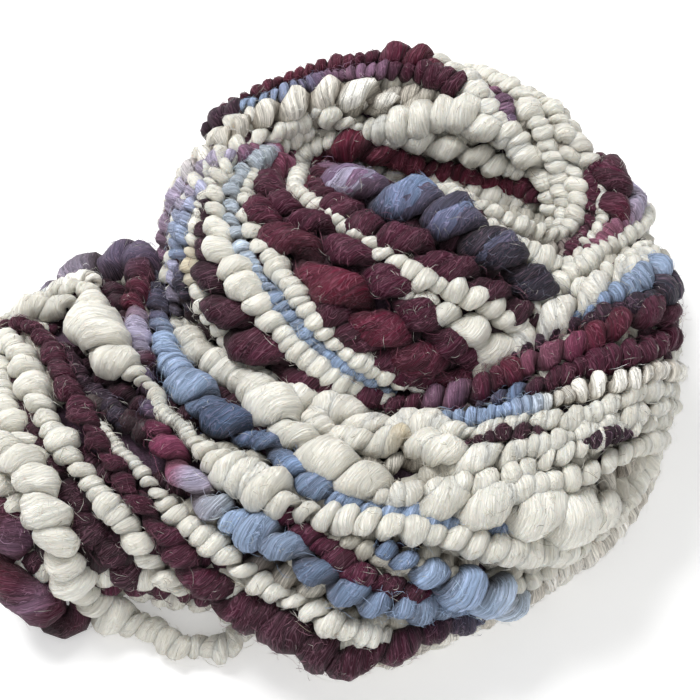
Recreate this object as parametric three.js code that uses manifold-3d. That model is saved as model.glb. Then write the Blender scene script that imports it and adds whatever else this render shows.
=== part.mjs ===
// A hank of boucle yarn, gathered to a loose bundle and laid down in a snail turn with its end fanned out.
// Millimetres, +Z up, resting on z = 0, seen from -Y. The yarn is one continuous piece, so the hank is one solid:
// the body of the bundle, with its main strands raised on it at their real thickness.

import * as THREE from "three";
import { mergeVertices } from "three/addons/utils/BufferGeometryUtils.js";
import Module from "manifold-3d";

const wasm = await Module();
wasm.setup();

// Driving dimensions
const HANK_WIDTH = 344;
const MIDDLE = { x: -20.1, y: 6.7 };
const BOX_DEPTH = 80;
const LANE_TO_CREST = 50;
const UNDERCUT = 1.5;

// Strands: sides of a section, length of a segment, and how far neighbours press it narrower
const STRAND_SIDES = 5;
const STRAND_STEP = 22;
const SIDE_PRESS = 0.76;
const LOOSE_SIDES = 8;
const LOOSE_STEP = 9;
const END_NARROWING = 0.6;
const SAMPLES_PER_KEY = 12;

// Bodies of the turns: heights over the surface on which the strands' middles lie, and rows along the turn
const RIDGE = -2;
const BEHIND = -4;
const BETWEEN = -8;
const BODY_START = 0.2;
const OUTER_ROWS = 18;
const INNER_ROWS = 28;
const RING_RADIUS = 2;

// A turn is a row of cross-sections. Each row holds the widest point on the inner side (x, y), the widest point on
// the outer side (x, y), the height of the crest, and the heights of the two widest points.
// The outer turn runs from the fanned end at the left, along the front, to the right side.
const OUTER_TURN = {
  closed: false,
  sections: [
    [-137, 42, -188, -10, 22, 8, 8],
    [-86, 62, -184, -28, 40, 16, 12],
    [-70, 32, -160, -76, 54, 26, 16],
    [-54, 14, -120, -98, 58, 28, 18],
    [-38, -1, -80, -102, 60, 30, 18],
    [-18, -11, -41, -112, 62, 32, 18],
    [6, -18, 0, -131, 64, 32, 18],
    [33, -12, 41, -118, 66, 32, 18],
    [54, 6, 82, -97, 70, 34, 18],
    [72, 22, 113, -72, 73, 36, 18],
    [92, 38, 131, -40, 74, 36, 18],
    [112, 52, 138, -10, 70, 34, 18],
    [124, 62, 142, 6, 56, 28, 16],
    [132, 68, 145, 14, 32, 18, 12],
    [134, 70, 147, 16, 8, 4, 3],
  ],
};

// The inner turn closes on itself round the slit in the middle. It starts under the right side of the outer turn,
// runs over the back and the left, and crosses the middle as the highest part.
const INNER_TURN = {
  closed: true,
  sections: [
    [84, 64, 136, 52, 62, 34, 22],
    [83, 74, 131, 77, 64, 34, 22],
    [77, 81, 112, 99, 68, 34, 24],
    [62, 86, 87, 127, 72, 34, 24],
    [36, 90, 40, 151, 74, 34, 24],
    [8, 92, -12, 145, 74, 34, 24],
    [-8, 92, -52, 122, 74, 34, 24],
    [-17, 90, -76, 96, 74, 34, 24],
    [-20, 86, -86, 62, 74, 36, 24],
    [-12, 84, -74, 8, 78, 38, 24],
    [12, 83, -37, -27, 84, 40, 24],
    [38, 78, 4, -38, 87, 40, 24],
    [62, 70, 46, -34, 82, 40, 24],
    [80, 62, 88, -16, 67, 36, 22],
    [84, 58, 122, 20, 60, 34, 22],
  ],
};

// Strands of a turn. Each key holds a station (the number of a cross-section, with parts of one between), a lane
// (0 at the widest point of the inner side, 50 on the crest, 100 at the widest point of the outer side) and the
// strand's thickness. The lift raises a strand's middle off the turn's surface where it lies over its neighbours.
const OUTER_STRANDS = [
  { name: "wine long", lift: 2,
    keys: [[0.6, 55, 6], [1.5, 49, 9], [2, 50, 10], [2.5, 54, 9], [3, 57.5, 9], [3.5, 62.5, 9], [4, 69, 10],
      [4.5, 79, 12], [5, 86, 14], [5.5, 90, 14], [6, 93, 14], [6.5, 92, 13], [7, 91, 11], [7.4, 95, 8]] },
  { name: "mauve to sky", lift: 1,
    keys: [[0, 17, 12], [0.5, 17, 14], [1, 18, 12], [1.5, 27, 10], [2, 31, 11], [2.5, 36, 9], [3, 43, 7],
      [3.25, 49.5, 9], [3.75, 54, 14], [4, 58.5, 13], [4.5, 63, 11], [5, 66.5, 11], [5.5, 70, 14], [6, 75, 12],
      [6.5, 81, 10], [7, 86, 9], [7.3, 91, 8]] },
  { name: "sky", lift: 0,
    keys: [[1.4, 18, 8], [2, 23, 9], [2.5, 29, 9], [3, 34, 14], [3.5, 38, 18], [4, 40.5, 18], [4.5, 44.5, 9],
      [5, 46, 9], [5.5, 51.5, 10], [6, 54, 8], [6.5, 57.5, 8], [7, 64.5, 8], [7.4, 70, 7], [8, 77, 7]] },
  { name: "fluffy ivory", lift: 1,
    keys: [[1.6, 14, 9], [2.25, 21.5, 11], [2.75, 24, 12], [3.25, 26, 12], [3.75, 27, 13], [4.25, 30, 14],
      [4.75, 35.5, 19], [5.25, 42, 19], [5.75, 46, 20], [6.1, 48.5, 20], [6.5, 54, 14], [7, 60, 19],
      [7.5, 66, 22], [8, 75, 24], [8.5, 83, 18], [9, 90, 12]] },
  { name: "shaded ivory", lift: 1,
    keys: [[4.4, 22, 10], [4.75, 26, 12], [5.25, 29.5, 15], [5.6, 28, 14], [6, 30.5, 14], [6.4, 34, 12],
      [6.75, 36, 14], [7, 40, 12], [7.25, 44.5, 9], [7.5, 47, 8], [8, 52, 8], [8.5, 58, 8.5], [9, 62, 9],
      [9.5, 67, 9], [10, 75, 9], [10.5, 86, 8]] },
  { name: "streaked ivory", lift: 0,
    keys: [[5.2, 33, 9], [5.5, 36, 11], [6, 38, 12], [6.4, 37.5, 13], [6.75, 42, 14], [7.05, 49, 16],
      [7.3, 52, 12], [7.6, 55, 10], [8, 58, 9], [8.5, 62, 9], [9, 66, 9], [9.5, 72, 9], [10, 80, 9],
      [10.4, 88, 8]] },
  { name: "pale beads", lift: 1,
    keys: [[6.9, 36, 7], [7.25, 40, 9], [7.5, 43, 8], [8, 48.5, 9], [8.5, 53, 9], [9, 56, 12], [9.5, 63, 10],
      [10, 70, 9], [10.5, 79, 9], [10.9, 88, 8]] },
  { name: "ivory row one", lift: 0,
    keys: [[6.1, 52.5, 9], [6.75, 54, 11], [7, 56, 10], [7.5, 60, 12], [8, 62, 10], [8.5, 65, 9], [9, 68.5, 9],
      [9.5, 75, 9], [10, 84, 9]] },
  { name: "ivory row two", lift: 0,
    keys: [[7.2, 62, 12], [7.6, 64, 12], [8, 67, 11], [8.5, 71, 10], [9, 74, 9], [9.5, 80, 9], [9.9, 88, 8]] },
  { name: "seam wine", lift: 2,
    keys: [[6.2, 24, 8], [6.6, 28, 9], [7, 30, 11], [7.3, 33, 12], [7.75, 36.5, 11], [8.25, 38.5, 11],
      [8.75, 42.5, 12], [9.15, 46, 12], [9.5, 48, 12], [10, 53, 14], [10.5, 60, 16], [11, 68, 14],
      [11.4, 77, 12]] },
  { name: "seam wine two", lift: 0,
    keys: [[7.4, 38, 6], [7.75, 41, 7], [8.25, 45, 9], [8.75, 48, 9], [9.1, 51, 11], [9.5, 56, 11],
      [10, 63.5, 11], [10.5, 69, 11], [11, 76, 10], [11.4, 84, 8]] },
  { name: "plum", lift: 1,
    keys: [[7.6, 31, 6], [8, 34, 7], [8.5, 34.5, 7], [9, 37, 8], [9.5, 43, 9], [10, 48.5, 11], [10.5, 55, 14],
      [11, 58, 14], [11.5, 60, 12], [12, 62, 10]] },
  { name: "right blue", lift: 1,
    keys: [[9.2, 36, 6], [9.5, 40, 8], [10, 42.5, 9], [10.5, 46.5, 11], [11, 50, 13], [11.5, 50.5, 12],
      [12, 52, 10]] },
  { name: "seam ivory", lift: 0,
    keys: [[7.4, 28, 10], [8, 31, 12], [8.6, 31, 14], [9.2, 34, 17], [9.8, 37, 14], [10.3, 39, 12],
      [10.8, 43, 10], [11.3, 43, 10], [11.8, 44, 8]] },
  { name: "main corkscrew", lift: 3,
    keys: [[0.2, 43, 8], [0.8, 41, 9], [1.25, 38, 16], [1.6, 38.5, 27], [1.95, 39.5, 22], [2.25, 38.5, 17],
      [2.5, 39.5, 9], [3, 42.5, 6], [3.5, 44.5, 5], [4, 48.5, 9], [4.25, 51.5, 12], [4.6, 52.5, 16], [5, 55, 15],
      [5.5, 57.5, 10], [6, 57.5, 9], [6.5, 61, 10], [7, 69, 12], [7.5, 77, 12], [8, 85, 11], [8.3, 91, 9]] },
  { name: "low blue", lift: 1,
    keys: [[6.2, 63, 8], [6.5, 68, 10], [6.8, 75, 13], [7.1, 82, 18], [7.35, 88, 19], [7.55, 97, 16],
      [7.6, 106, 12]] },
  { name: "ivory beads", lift: 0,
    keys: [[2.5, 52, 5], [3, 55, 6], [3.5, 60, 7], [4, 64.5, 8], [4.5, 69.5, 12], [5, 74.5, 12],
      [5.5, 79.5, 13], [6, 83.5, 11], [6.4, 89, 9]] },
  { name: "left ivory", lift: 1,
    keys: [[0.2, 59, 10], [0.8, 58, 10], [1.5, 56, 13], [2.1, 58.5, 13], [2.6, 61, 11], [3, 63.5, 10],
      [3.4, 68, 11], [3.75, 72.5, 11], [4.05, 79, 13], [4.4, 85.5, 9], [4.6, 90, 8]] },
  { name: "left wine", lift: -1,
    keys: [[1.6, 60, 8], [2.1, 61, 9], [2.5, 63, 10], [2.8, 66.5, 11], [3.1, 71, 12], [3.4, 76, 13],
      [3.75, 82, 13], [4.1, 86, 12], [4.5, 89, 11]] },
  { name: "low left wine", lift: 0,
    keys: [[0.2, 82, 10], [1, 79, 11], [1.8, 78, 12], [2.4, 82, 12], [2.9, 89, 11], [3.4, 95, 9]] },
];

const INNER_STRANDS = [
  { name: "right wine", lift: 1,
    keys: [[-0.6, 51, 8], [-0.2, 53, 12], [0.3, 54.5, 14], [0.8, 56, 15], [1.2, 60, 14], [1.6, 68, 12],
      [2, 77, 10], [2.4, 86, 8]] },
  { name: "thin right wine", lift: 1,
    keys: [[-1.6, 45, 6], [-1.2, 41.5, 7], [-0.6, 40.5, 7], [0, 41.5, 7], [0.6, 43, 7], [1.1, 45.5, 7],
      [1.5, 49, 7], [1.9, 60, 7], [2.3, 74, 7], [2.7, 88, 7]] },
  { name: "mauve pink", lift: 1,
    keys: [[-1.4, 50, 6], [-0.9, 51, 8], [-0.5, 54.5, 9], [-0.2, 58.5, 9], [0.1, 63, 9], [0.5, 71, 9],
      [1, 80, 8], [1.6, 92, 8]] },
  { name: "seam bead row", lift: 1,
    keys: [[-2.4, 66, 12], [-2.05, 58, 13], [-1.75, 53.5, 11], [-1.35, 54, 12], [-0.95, 54.5, 10],
      [-0.6, 60, 10], [-0.3, 66, 9], [0.1, 73, 9], [0.6, 83, 9], [1.1, 93, 8]] },
  { name: "slit turn", lift: 1,
    keys: [[-4.5, 14, 6], [-4, 20, 8], [-3.5, 26, 10], [-3, 30.5, 9], [-2.5, 31, 9], [-2, 29, 9],
      [-1.4, 28.5, 9], [-0.8, 29.5, 9], [-0.2, 32.5, 10], [0.4, 34, 10], [1, 35.5, 9], [1.5, 38.5, 9],
      [1.9, 44, 9], [2.3, 54, 9], [2.8, 68, 9], [3.3, 82, 9]] },
  { name: "right arc", lift: 0,
    keys: [[-1.8, 24, 8], [-1, 24, 9], [-0.2, 24, 10], [0.4, 25, 10], [1, 27, 11], [1.5, 30, 11], [2, 36, 11],
      [2.5, 44, 12], [2.9, 54, 12], [3.3, 66, 11], [3.8, 80, 10]] },
  { name: "big right ivory", lift: 1,
    keys: [[-1, 19, 9], [-0.4, 17, 10], [0.2, 16, 10], [0.8, 17, 11], [1.3, 19, 12], [1.8, 22, 15],
      [2.2, 25, 18], [2.6, 28, 14], [3, 32, 12], [3.3, 38, 12], [3.6, 48, 11], [4, 62, 11], [4.4, 76, 10]] },
  { name: "slit wine", lift: 2,
    keys: [[1, 11, 6], [1.6, 9, 8], [2.1, 8, 9], [2.6, 4.5, 11], [2.95, 5, 12], [3.4, 8, 10], [3.9, 8, 10],
      [4.4, 10, 11], [4.8, 12, 13], [5.3, 14, 15], [5.9, 12.5, 14], [6.5, 11, 13], [7, 9, 12]] },
  { name: "middle wine", lift: 1,
    keys: [[9.2, 18, 12], [9.4, 25, 12], [9.7, 35, 12], [10, 39, 13], [10.5, 43, 13], [11, 47, 13],
      [11.5, 51, 13], [12, 55, 13], [12.5, 61, 12], [13, 70, 10]] },
  { name: "slit ivory", lift: 0,
    keys: [[1.9, 16, 7], [2.4, 14, 8], [2.7, 16.5, 8.5], [3.1, 16, 8.5], [3.5, 15.5, 8], [3.9, 14, 7.5],
      [4.3, 16, 8], [4.7, 16.5, 8], [5, 18, 7]] },
  { name: "big back ivory", lift: 2,
    keys: [[2.2, 24, 10], [2.7, 27, 11], [3.1, 28, 14], [3.5, 33.5, 18], [3.9, 31, 18], [4.3, 27, 20],
      [4.65, 24, 14], [5, 23, 10], [5.2, 26, 9], [5.45, 31, 13], [5.8, 36, 12]] },
  { name: "outer back ivory", lift: 0,
    keys: [[4.4, 36, 10], [4.75, 39, 15], [5.2, 42.5, 16], [5.75, 41, 16], [6.2, 43, 14], [6.6, 47, 13],
      [7, 50, 12], [7.4, 56, 12], [7.8, 66, 12], [8.1, 78, 11], [8.4, 90, 10]] },
  { name: "left back ivory", lift: 0,
    keys: [[5.6, 36, 10], [6, 33, 12], [6.4, 32, 12], [6.8, 33, 11], [7.2, 37, 11], [7.6, 45, 10],
      [7.9, 54, 10], [8.1, 63, 9], [8.3, 73, 9], [8.6, 85, 9]] },
  { name: "long ivory", lift: 2,
    keys: [[5.1, 20, 8], [5.6, 21.5, 10], [6, 20, 10], [6.5, 19, 10], [7, 17, 10], [7.5, 14, 9], [8, 13, 9],
      [8.6, 18, 9], [9, 27, 9], [9.3, 36, 8], [9.5, 39.5, 8], [10, 43.5, 8], [10.5, 48.5, 9], [11, 54, 10],
      [11.5, 57.5, 11], [12, 60.5, 12], [12.4, 66, 11], [12.8, 75, 10]] },
  { name: "wine inner one", lift: 0,
    keys: [[6.9, 19, 8], [7.4, 18, 10], [7.9, 21, 11], [8.3, 26, 11], [8.7, 35, 12], [9, 40, 13],
      [9.5, 45, 13], [10, 47.5, 13], [10.5, 53, 13], [11, 59, 13], [11.5, 67, 13], [12, 75, 12], [12.4, 82, 10]] },
  { name: "pale blue", lift: 1,
    keys: [[7.2, 28, 9], [7.6, 28, 11], [8, 33, 11], [8.3, 41, 10], [8.55, 49, 9], [9, 56, 8.5], [9.5, 62, 6],
      [9.8, 66, 7], [10.2, 70.5, 7], [10.6, 76, 7], [11, 80, 7], [11.3, 82.5, 6]] },
  { name: "ivory left one", lift: 1,
    keys: [[7.9, 45, 8], [8.1, 50, 9], [8.5, 56.5, 10], [8.9, 60.5, 12], [9.1, 64.5, 18], [9.4, 65.5, 18],
      [9.7, 69, 12], [10, 72, 9], [10.4, 76, 10], [10.7, 80, 10], [11.1, 83.5, 9], [11.5, 87, 8]] },
  { name: "ivory left two", lift: 1,
    keys: [[8.4, 38, 6], [8.8, 46.5, 8], [9.1, 52, 9], [9.5, 57.5, 9.5], [10, 64, 9], [10.4, 70, 8.5],
      [10.9, 76.5, 8.5], [11.3, 79.5, 8.5], [11.6, 82, 9], [11.9, 86, 8]] },
  { name: "dark plum", lift: 0,
    keys: [[8.3, 58, 5], [8.6, 62.5, 6], [8.9, 67, 9], [9.2, 72, 12], [9.6, 77.5, 18], [10, 80, 19],
      [10.5, 82.5, 16], [11, 84.5, 12], [11.5, 87, 9]] },
  { name: "wine inner two", lift: 0,
    keys: [[8.9, 44, 8], [9.2, 49, 13], [9.5, 52.5, 16], [10, 56.5, 18], [10.5, 62, 19], [11, 68, 18],
      [11.4, 74, 16], [11.8, 79, 13], [12.2, 84, 11]] },
  { name: "big middle ivory", lift: 0,
    keys: [[11, 59.5, 8], [11.35, 62, 10], [11.7, 65.5, 14], [12, 70.5, 20], [12.3, 75, 18], [12.7, 82, 12]] },
  { name: "mauve to slate", lift: 1,
    keys: [[9.1, 12, 9], [9.5, 21, 12], [9.9, 29, 15], [10.3, 34, 17], [10.8, 37, 18], [11.3, 38.5, 18],
      [11.8, 42, 17], [12.2, 47, 17], [12.55, 53, 14], [12.9, 62, 11], [13.3, 72, 9]] },
  { name: "top wine", lift: 1,
    keys: [[3.9, 56, 8], [4.2, 60, 10], [4.6, 63.5, 10], [5, 64, 10], [5.5, 65.5, 9], [6, 70, 9], [6.5, 78, 9],
      [7, 88, 9]] },
  { name: "plum to sky", lift: 2,
    keys: [[3.4, 43, 8], [3.75, 47, 12], [4.1, 50.5, 12], [4.5, 52.5, 9], [5, 53, 7.5], [5.5, 53, 7],
      [6, 53.5, 7], [6.35, 58, 7], [6.55, 66, 7], [6.8, 76, 7], [7.1, 88, 7]] },
  { name: "top mauve", lift: 1,
    keys: [[2.9, 34, 6], [3.1, 42, 7.5], [3.3, 50, 7.5], [3.55, 59, 7.5], [3.8, 70, 7.5], [4.1, 84, 7]] },
];

// Strands that cover the outer turn's right side: one after another they leave the crest, run down the outer side
// and end near the surface that the hank rests on.
const SIDE_STRANDS = { first: 9.2, last: 12.6, every: 0.9, from: 68, to: 124, run: 1.6, thickness: 10 };

// Bights at the fanned end, where the strands turn back
const END_BIGHTS = { first: 14, last: 86, every: 24, halfWidth: 11, reach: 0.75, thickness: 11 };

// Rows of points round a body: the lane, and the height. The top is covered by strands of its own, so there the body
// only shows between them. Lower down its ridges are the strands.
const BODY_LANES = [
  [-46, BETWEEN], [-38, RIDGE], [-31, BETWEEN], [-24, RIDGE], [-17, BETWEEN], [-10, RIDGE],
  [-3, BEHIND], [14, BEHIND], [27, BETWEEN], [40, BETWEEN], [53, BETWEEN], [66, BETWEEN],
  [78, BEHIND], [85, BETWEEN], [88.5, RIDGE], [92, BETWEEN], [95.5, RIDGE], [99, BETWEEN],
  [106, RIDGE], [114, BETWEEN], [122, RIDGE], [130, BETWEEN], [138, RIDGE], [147, BETWEEN],
];

// Yarn at the bottom of the slit, below the strands on both sides of it: middle, half sizes and turn about z
const SLIT_YARN = { middle: [34, 77, 26], half: [72, 24, 30], turn: -0.22 };

// Strands that lie on the surface beside the bundle: a loop that sags out of the front and the bight at the left.
// Each key holds x, y, z and the thickness.
const LOOSE_STRANDS = [
  { name: "loose loop",
    keys: [[-150, -38, 44, 11], [-140, -46, 46, 12], [-128, -56, 42, 14], [-121, -68, 33, 16], [-117, -80, 23, 15],
      [-109, -91, 13, 14], [-100, -101, 7, 13], [-87, -108, 6, 12], [-74, -114, 6, 10], [-66, -118, 6, 9],
      [-59, -117, 6, 9], [-52, -119, 6, 9], [-45, -114, 8, 9], [-36, -104, 14, 8]] },
  { name: "left bight",
    keys: [[-152, -62, 24, 12], [-143, -78, 15, 13], [-136, -92, 9, 13], [-130, -103, 7, 13], [-124, -106, 7, 13],
      [-119, -101, 8, 12], [-117, -90, 14, 11]] },
];

// Smooth value of a row of keys at a real position along it
function keyAt(keys, position, closed) {
  const count = keys.length;
  const limit = closed ? Infinity : count - 1 - 1e-9;
  const place = closed ? position : Math.min(Math.max(position, 0), limit);
  const base = Math.floor(place);
  const part = place - base;
  const pick = (step) => {
    const index = closed ? (((base + step) % count) + count) % count : Math.min(Math.max(base + step, 0), count - 1);
    return keys[index];
  };
  const [before, start, end, after] = [-1, 0, 1, 2].map(pick);
  return start.map((value, column) => 0.5 * (2 * value
    + (end[column] - before[column]) * part
    + (2 * before[column] - 5 * value + 4 * end[column] - after[column]) * part ** 2
    + (3 * value - before[column] - 3 * end[column] + after[column]) * part ** 3));
}

// Point of a turn's surface at a station and a lane
function turnPoint(turn, station, lane) {
  const [innerX, innerY, outerX, outerY, crest, innerLow, outerLow] = keyAt(turn.sections, station, turn.closed);
  const angle = (Math.PI / 2) * (lane / LANE_TO_CREST);
  const across = (1 - Math.cos(angle)) / 2;
  const low = innerLow + (outerLow - innerLow) * across;
  const rise = Math.sin(angle);
  const height = rise >= 0 ? low + (crest - low) * rise : low + low * UNDERCUT * rise;
  return new THREE.Vector3(innerX + (outerX - innerX) * across, innerY + (outerY - innerY) * across, height);
}

// Direction that points out of a turn's surface
function turnNormal(turn, station, lane) {
  const small = 0.02;
  const along = turnPoint(turn, station + small, lane).sub(turnPoint(turn, station - small, lane));
  const across = turnPoint(turn, station, lane + 1).sub(turnPoint(turn, station, lane - 1));
  return across.cross(along).normalize();
}

// Middle line of a strand: points with the direction away from the bundle and the radius, a step apart
function middleLine(sampleAt, keyCount, step) {
  const fine = SAMPLES_PER_KEY * (keyCount - 1);
  const samples = Array.from({ length: fine + 1 }, (_, index) => sampleAt((index / fine) * (keyCount - 1)));
  const lengths = [0];
  samples.slice(1).forEach((sample, index) => {
    lengths.push(lengths[index] + sample.point.distanceTo(samples[index].point));
  });
  const total = lengths[fine];
  const steps = Math.max(3, Math.round(total / step));
  let cursor = 0;
  return Array.from({ length: steps + 1 }, (_, index) => {
    const wanted = (total * index) / steps;
    while (cursor < fine - 1 && lengths[cursor + 1] < wanted) cursor += 1;
    const part = (wanted - lengths[cursor]) / (lengths[cursor + 1] - lengths[cursor]);
    const from = samples[cursor];
    const to = samples[cursor + 1];
    return {
      point: from.point.clone().lerp(to.point, part),
      outward: from.outward.clone().lerp(to.outward, part).normalize(),
      radius: from.radius + (to.radius - from.radius) * part,
    };
  });
}

// A closed tube round a middle line, narrowed at both ends: a cylinder whose points are moved to the line. The press
// narrows it sideways, as its neighbours do.
function strandGeometry(line, sides, press) {
  const steps = line.length - 1;
  const geometry = new THREE.CylinderGeometry(1, 1, 1, sides, steps);
  const position = geometry.getAttribute("position");
  for (let index = 0; index < position.count; index += 1) {
    const row = Math.round((0.5 - position.getY(index)) * steps);
    const { point, outward, radius } = line[row];
    const next = line[Math.min(row + 1, steps)].point;
    const previous = line[Math.max(row - 1, 0)].point;
    const along = next.clone().sub(previous).normalize();
    const side = outward.clone().cross(along).normalize();
    const up = along.clone().cross(side);
    const size = radius * (row === 0 || row === steps ? END_NARROWING : 1);
    const moved = point.clone()
      .addScaledVector(side, position.getX(index) * size * press)
      .addScaledVector(up, position.getZ(index) * size);
    position.setXYZ(index, moved.x, moved.y, moved.z);
  }
  return geometry;
}

function turnStrand(turn, { keys, lift }) {
  const sampleAt = (place) => {
    const [station, lane, thickness] = keyAt(keys, place, false);
    const outward = turnNormal(turn, station, lane);
    const point = turnPoint(turn, station, lane).addScaledVector(outward, lift);
    return { point, outward, radius: thickness / 2 };
  };
  return strandGeometry(middleLine(sampleAt, keys.length, STRAND_STEP), STRAND_SIDES, SIDE_PRESS);
}

function looseStrand({ keys }) {
  const sampleAt = (place) => {
    const [x, y, z, thickness] = keyAt(keys, place, false);
    return { point: new THREE.Vector3(x, y, z), outward: new THREE.Vector3(0, 0, 1), radius: thickness / 2 };
  };
  return strandGeometry(middleLine(sampleAt, keys.length, LOOSE_STEP), LOOSE_SIDES, 1);
}

function sideStrands(turn, { first, last, every, from, to, run, thickness }) {
  const starts = [];
  for (let start = first; start <= last; start += every) starts.push(start);
  return starts.map((start) => {
    const middle = (from + to) / 2;
    const keys = [[start, from, thickness], [start + run / 2, middle, thickness], [start + run, to, thickness]];
    return turnStrand(turn, { keys, lift: 0 });
  });
}

function endBights(turn, { first, last, every, halfWidth, reach, thickness }) {
  const near = 0.02;
  const middles = [];
  for (let middle = first; middle <= last; middle += every) middles.push(middle);
  return middles.map((middle) => {
    const keys = [[reach, -0.7], [reach / 2, -1], [near, -0.5], [near, 0.5], [reach / 2, 1], [reach, 0.7]];
    return turnStrand(turn, {
      lift: 0,
      keys: keys.map(([station, part]) => [station, middle + part * halfWidth, thickness]),
    });
  });
}

// Point of a turn's body at an angle round its section
function bodyPoint(turn, station, angle) {
  const row = Math.round((angle / (2 * Math.PI)) * BODY_LANES.length);
  const [lane, height] = BODY_LANES[(row + BODY_LANES.length) % BODY_LANES.length];
  return turnPoint(turn, station, lane).addScaledVector(turnNormal(turn, station, lane), height);
}

function openTurnBody(turn, rows) {
  const geometry = new THREE.CylinderGeometry(1, 1, 1, BODY_LANES.length, rows);
  const position = geometry.getAttribute("position");
  const last = turn.sections.length - 1;
  for (let index = 0; index < position.count; index += 1) {
    const station = BODY_START + (0.5 - position.getY(index)) * (last - BODY_START);
    const [x, z] = [position.getX(index), position.getZ(index)];
    const onAxis = Math.hypot(x, z) < 0.5;
    const middle = turnPoint(turn, station, 0).add(turnPoint(turn, station, 2 * LANE_TO_CREST)).multiplyScalar(0.5);
    const moved = onAxis ? middle : bodyPoint(turn, station, Math.atan2(z, x));
    position.setXYZ(index, moved.x, moved.y, moved.z);
  }
  return geometry;
}

function closedTurnBody(turn, rows) {
  const geometry = new THREE.TorusGeometry(RING_RADIUS, 1, BODY_LANES.length, rows);
  const position = geometry.getAttribute("position");
  for (let index = 0; index < position.count; index += 1) {
    const [x, y, z] = [position.getX(index), position.getY(index), position.getZ(index)];
    const station = (Math.atan2(y, x) / (2 * Math.PI)) * turn.sections.length;
    const moved = bodyPoint(turn, station, Math.atan2(z, RING_RADIUS - Math.hypot(x, y)));
    position.setXYZ(index, moved.x, moved.y, moved.z);
  }
  return geometry;
}

function slitYarn({ middle, half, turn }) {
  const geometry = new THREE.SphereGeometry(1, 20, 10);
  geometry.scale(...half);
  geometry.rotateZ(turn);
  geometry.translate(...middle);
  return geometry;
}

// A closed geometry as a solid that can be joined and cut
function solidFrom(geometry) {
  const bare = geometry.clone();
  bare.deleteAttribute("normal");
  bare.deleteAttribute("uv");
  const merged = mergeVertices(bare, 1e-4);
  return new wasm.Manifold(new wasm.Mesh({
    numProp: 3,
    vertProperties: new Float32Array(merged.getAttribute("position").array),
    triVerts: new Uint32Array(merged.index.array),
  }));
}

// The outermost closed surface of a solid, without the sealed pockets that crossing strands leave
function outerSurface(solid) {
  const { vertProperties, triVerts } = solid.getMesh();
  const parent = Array.from({ length: vertProperties.length / 3 }, (_, index) => index);
  const find = (start) => {
    let index = start;
    while (parent[index] !== index) {
      parent[index] = parent[parent[index]];
      index = parent[index];
    }
    return index;
  };
  for (let corner = 0; corner < triVerts.length; corner += 3) {
    const root = find(triVerts[corner]);
    parent[find(triVerts[corner + 1])] = root;
    parent[find(triVerts[corner + 2])] = root;
  }
  const sizes = new Map();
  triVerts.forEach((vertex) => sizes.set(find(vertex), (sizes.get(find(vertex)) ?? 0) + 1));
  const largest = [...sizes.entries()].reduce((best, entry) => (entry[1] > best[1] ? entry : best))[0];
  const kept = [];
  for (let corner = 0; corner < triVerts.length; corner += 3) {
    if (find(triVerts[corner]) === largest) kept.push(triVerts[corner], triVerts[corner + 1], triVerts[corner + 2]);
  }
  const geometry = new THREE.BufferGeometry();
  geometry.setAttribute("position", new THREE.BufferAttribute(new Float32Array(vertProperties), 3));
  geometry.setIndex(kept);
  return geometry;
}

function hankGeometry() {
  const pieces = [
    openTurnBody(OUTER_TURN, OUTER_ROWS),
    closedTurnBody(INNER_TURN, INNER_ROWS),
    slitYarn(SLIT_YARN),
    ...OUTER_STRANDS.map((strand) => turnStrand(OUTER_TURN, strand)),
    ...INNER_STRANDS.map((strand) => turnStrand(INNER_TURN, strand)),
    ...sideStrands(OUTER_TURN, SIDE_STRANDS),
    ...endBights(OUTER_TURN, END_BIGHTS),
    ...LOOSE_STRANDS.map(looseStrand),
  ];
  const joined = pieces.map(solidFrom).reduce((whole, piece) => whole.add(piece));
  const below = new THREE.BoxGeometry(2 * HANK_WIDTH, 2 * HANK_WIDTH, BOX_DEPTH);
  below.translate(0, 0, -BOX_DEPTH / 2);
  return outerSurface(joined.subtract(solidFrom(below)));
}

const yarn = new THREE.MeshStandardMaterial({ color: 0xe6e0d4, roughness: 0.85, metalness: 0 });
const hank = new THREE.Mesh(hankGeometry(), yarn);
hank.name = "hank";
hank.position.set(-MIDDLE.x, -MIDDLE.y, 0);

const part = new THREE.Group();
part.add(hank);

export default part;
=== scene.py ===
# The looks of a hank of boucle yarn: every strand as a ply wound in beads along its line, with its colours,
# fibre streaks and loose hairs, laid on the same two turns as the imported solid.

import itertools
import math

import bpy
import numpy as np
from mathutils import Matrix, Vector


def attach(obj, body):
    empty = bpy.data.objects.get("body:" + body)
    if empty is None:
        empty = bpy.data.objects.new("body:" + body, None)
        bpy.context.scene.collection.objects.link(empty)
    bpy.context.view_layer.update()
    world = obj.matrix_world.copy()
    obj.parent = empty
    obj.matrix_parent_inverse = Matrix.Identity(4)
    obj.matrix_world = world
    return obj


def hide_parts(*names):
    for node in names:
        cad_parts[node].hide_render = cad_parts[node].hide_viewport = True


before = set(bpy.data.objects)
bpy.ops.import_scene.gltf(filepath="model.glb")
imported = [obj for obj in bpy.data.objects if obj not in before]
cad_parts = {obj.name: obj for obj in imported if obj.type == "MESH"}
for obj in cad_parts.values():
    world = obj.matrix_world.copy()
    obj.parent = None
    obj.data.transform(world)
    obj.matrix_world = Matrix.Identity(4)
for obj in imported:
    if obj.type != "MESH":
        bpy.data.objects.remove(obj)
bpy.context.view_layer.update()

# Origin of the row frame, in the millimetres of the tables below
MIDDLE = np.array([-20.1, 6.7, 0.0])

# Lanes run round a turn: 0 is its inner side, 50 its crest, 100 its outer side. The others turn in under it,
# this much faster than they rise.
LANE_TO_CREST = 50.0
UNDERCUT = 1.5

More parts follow.
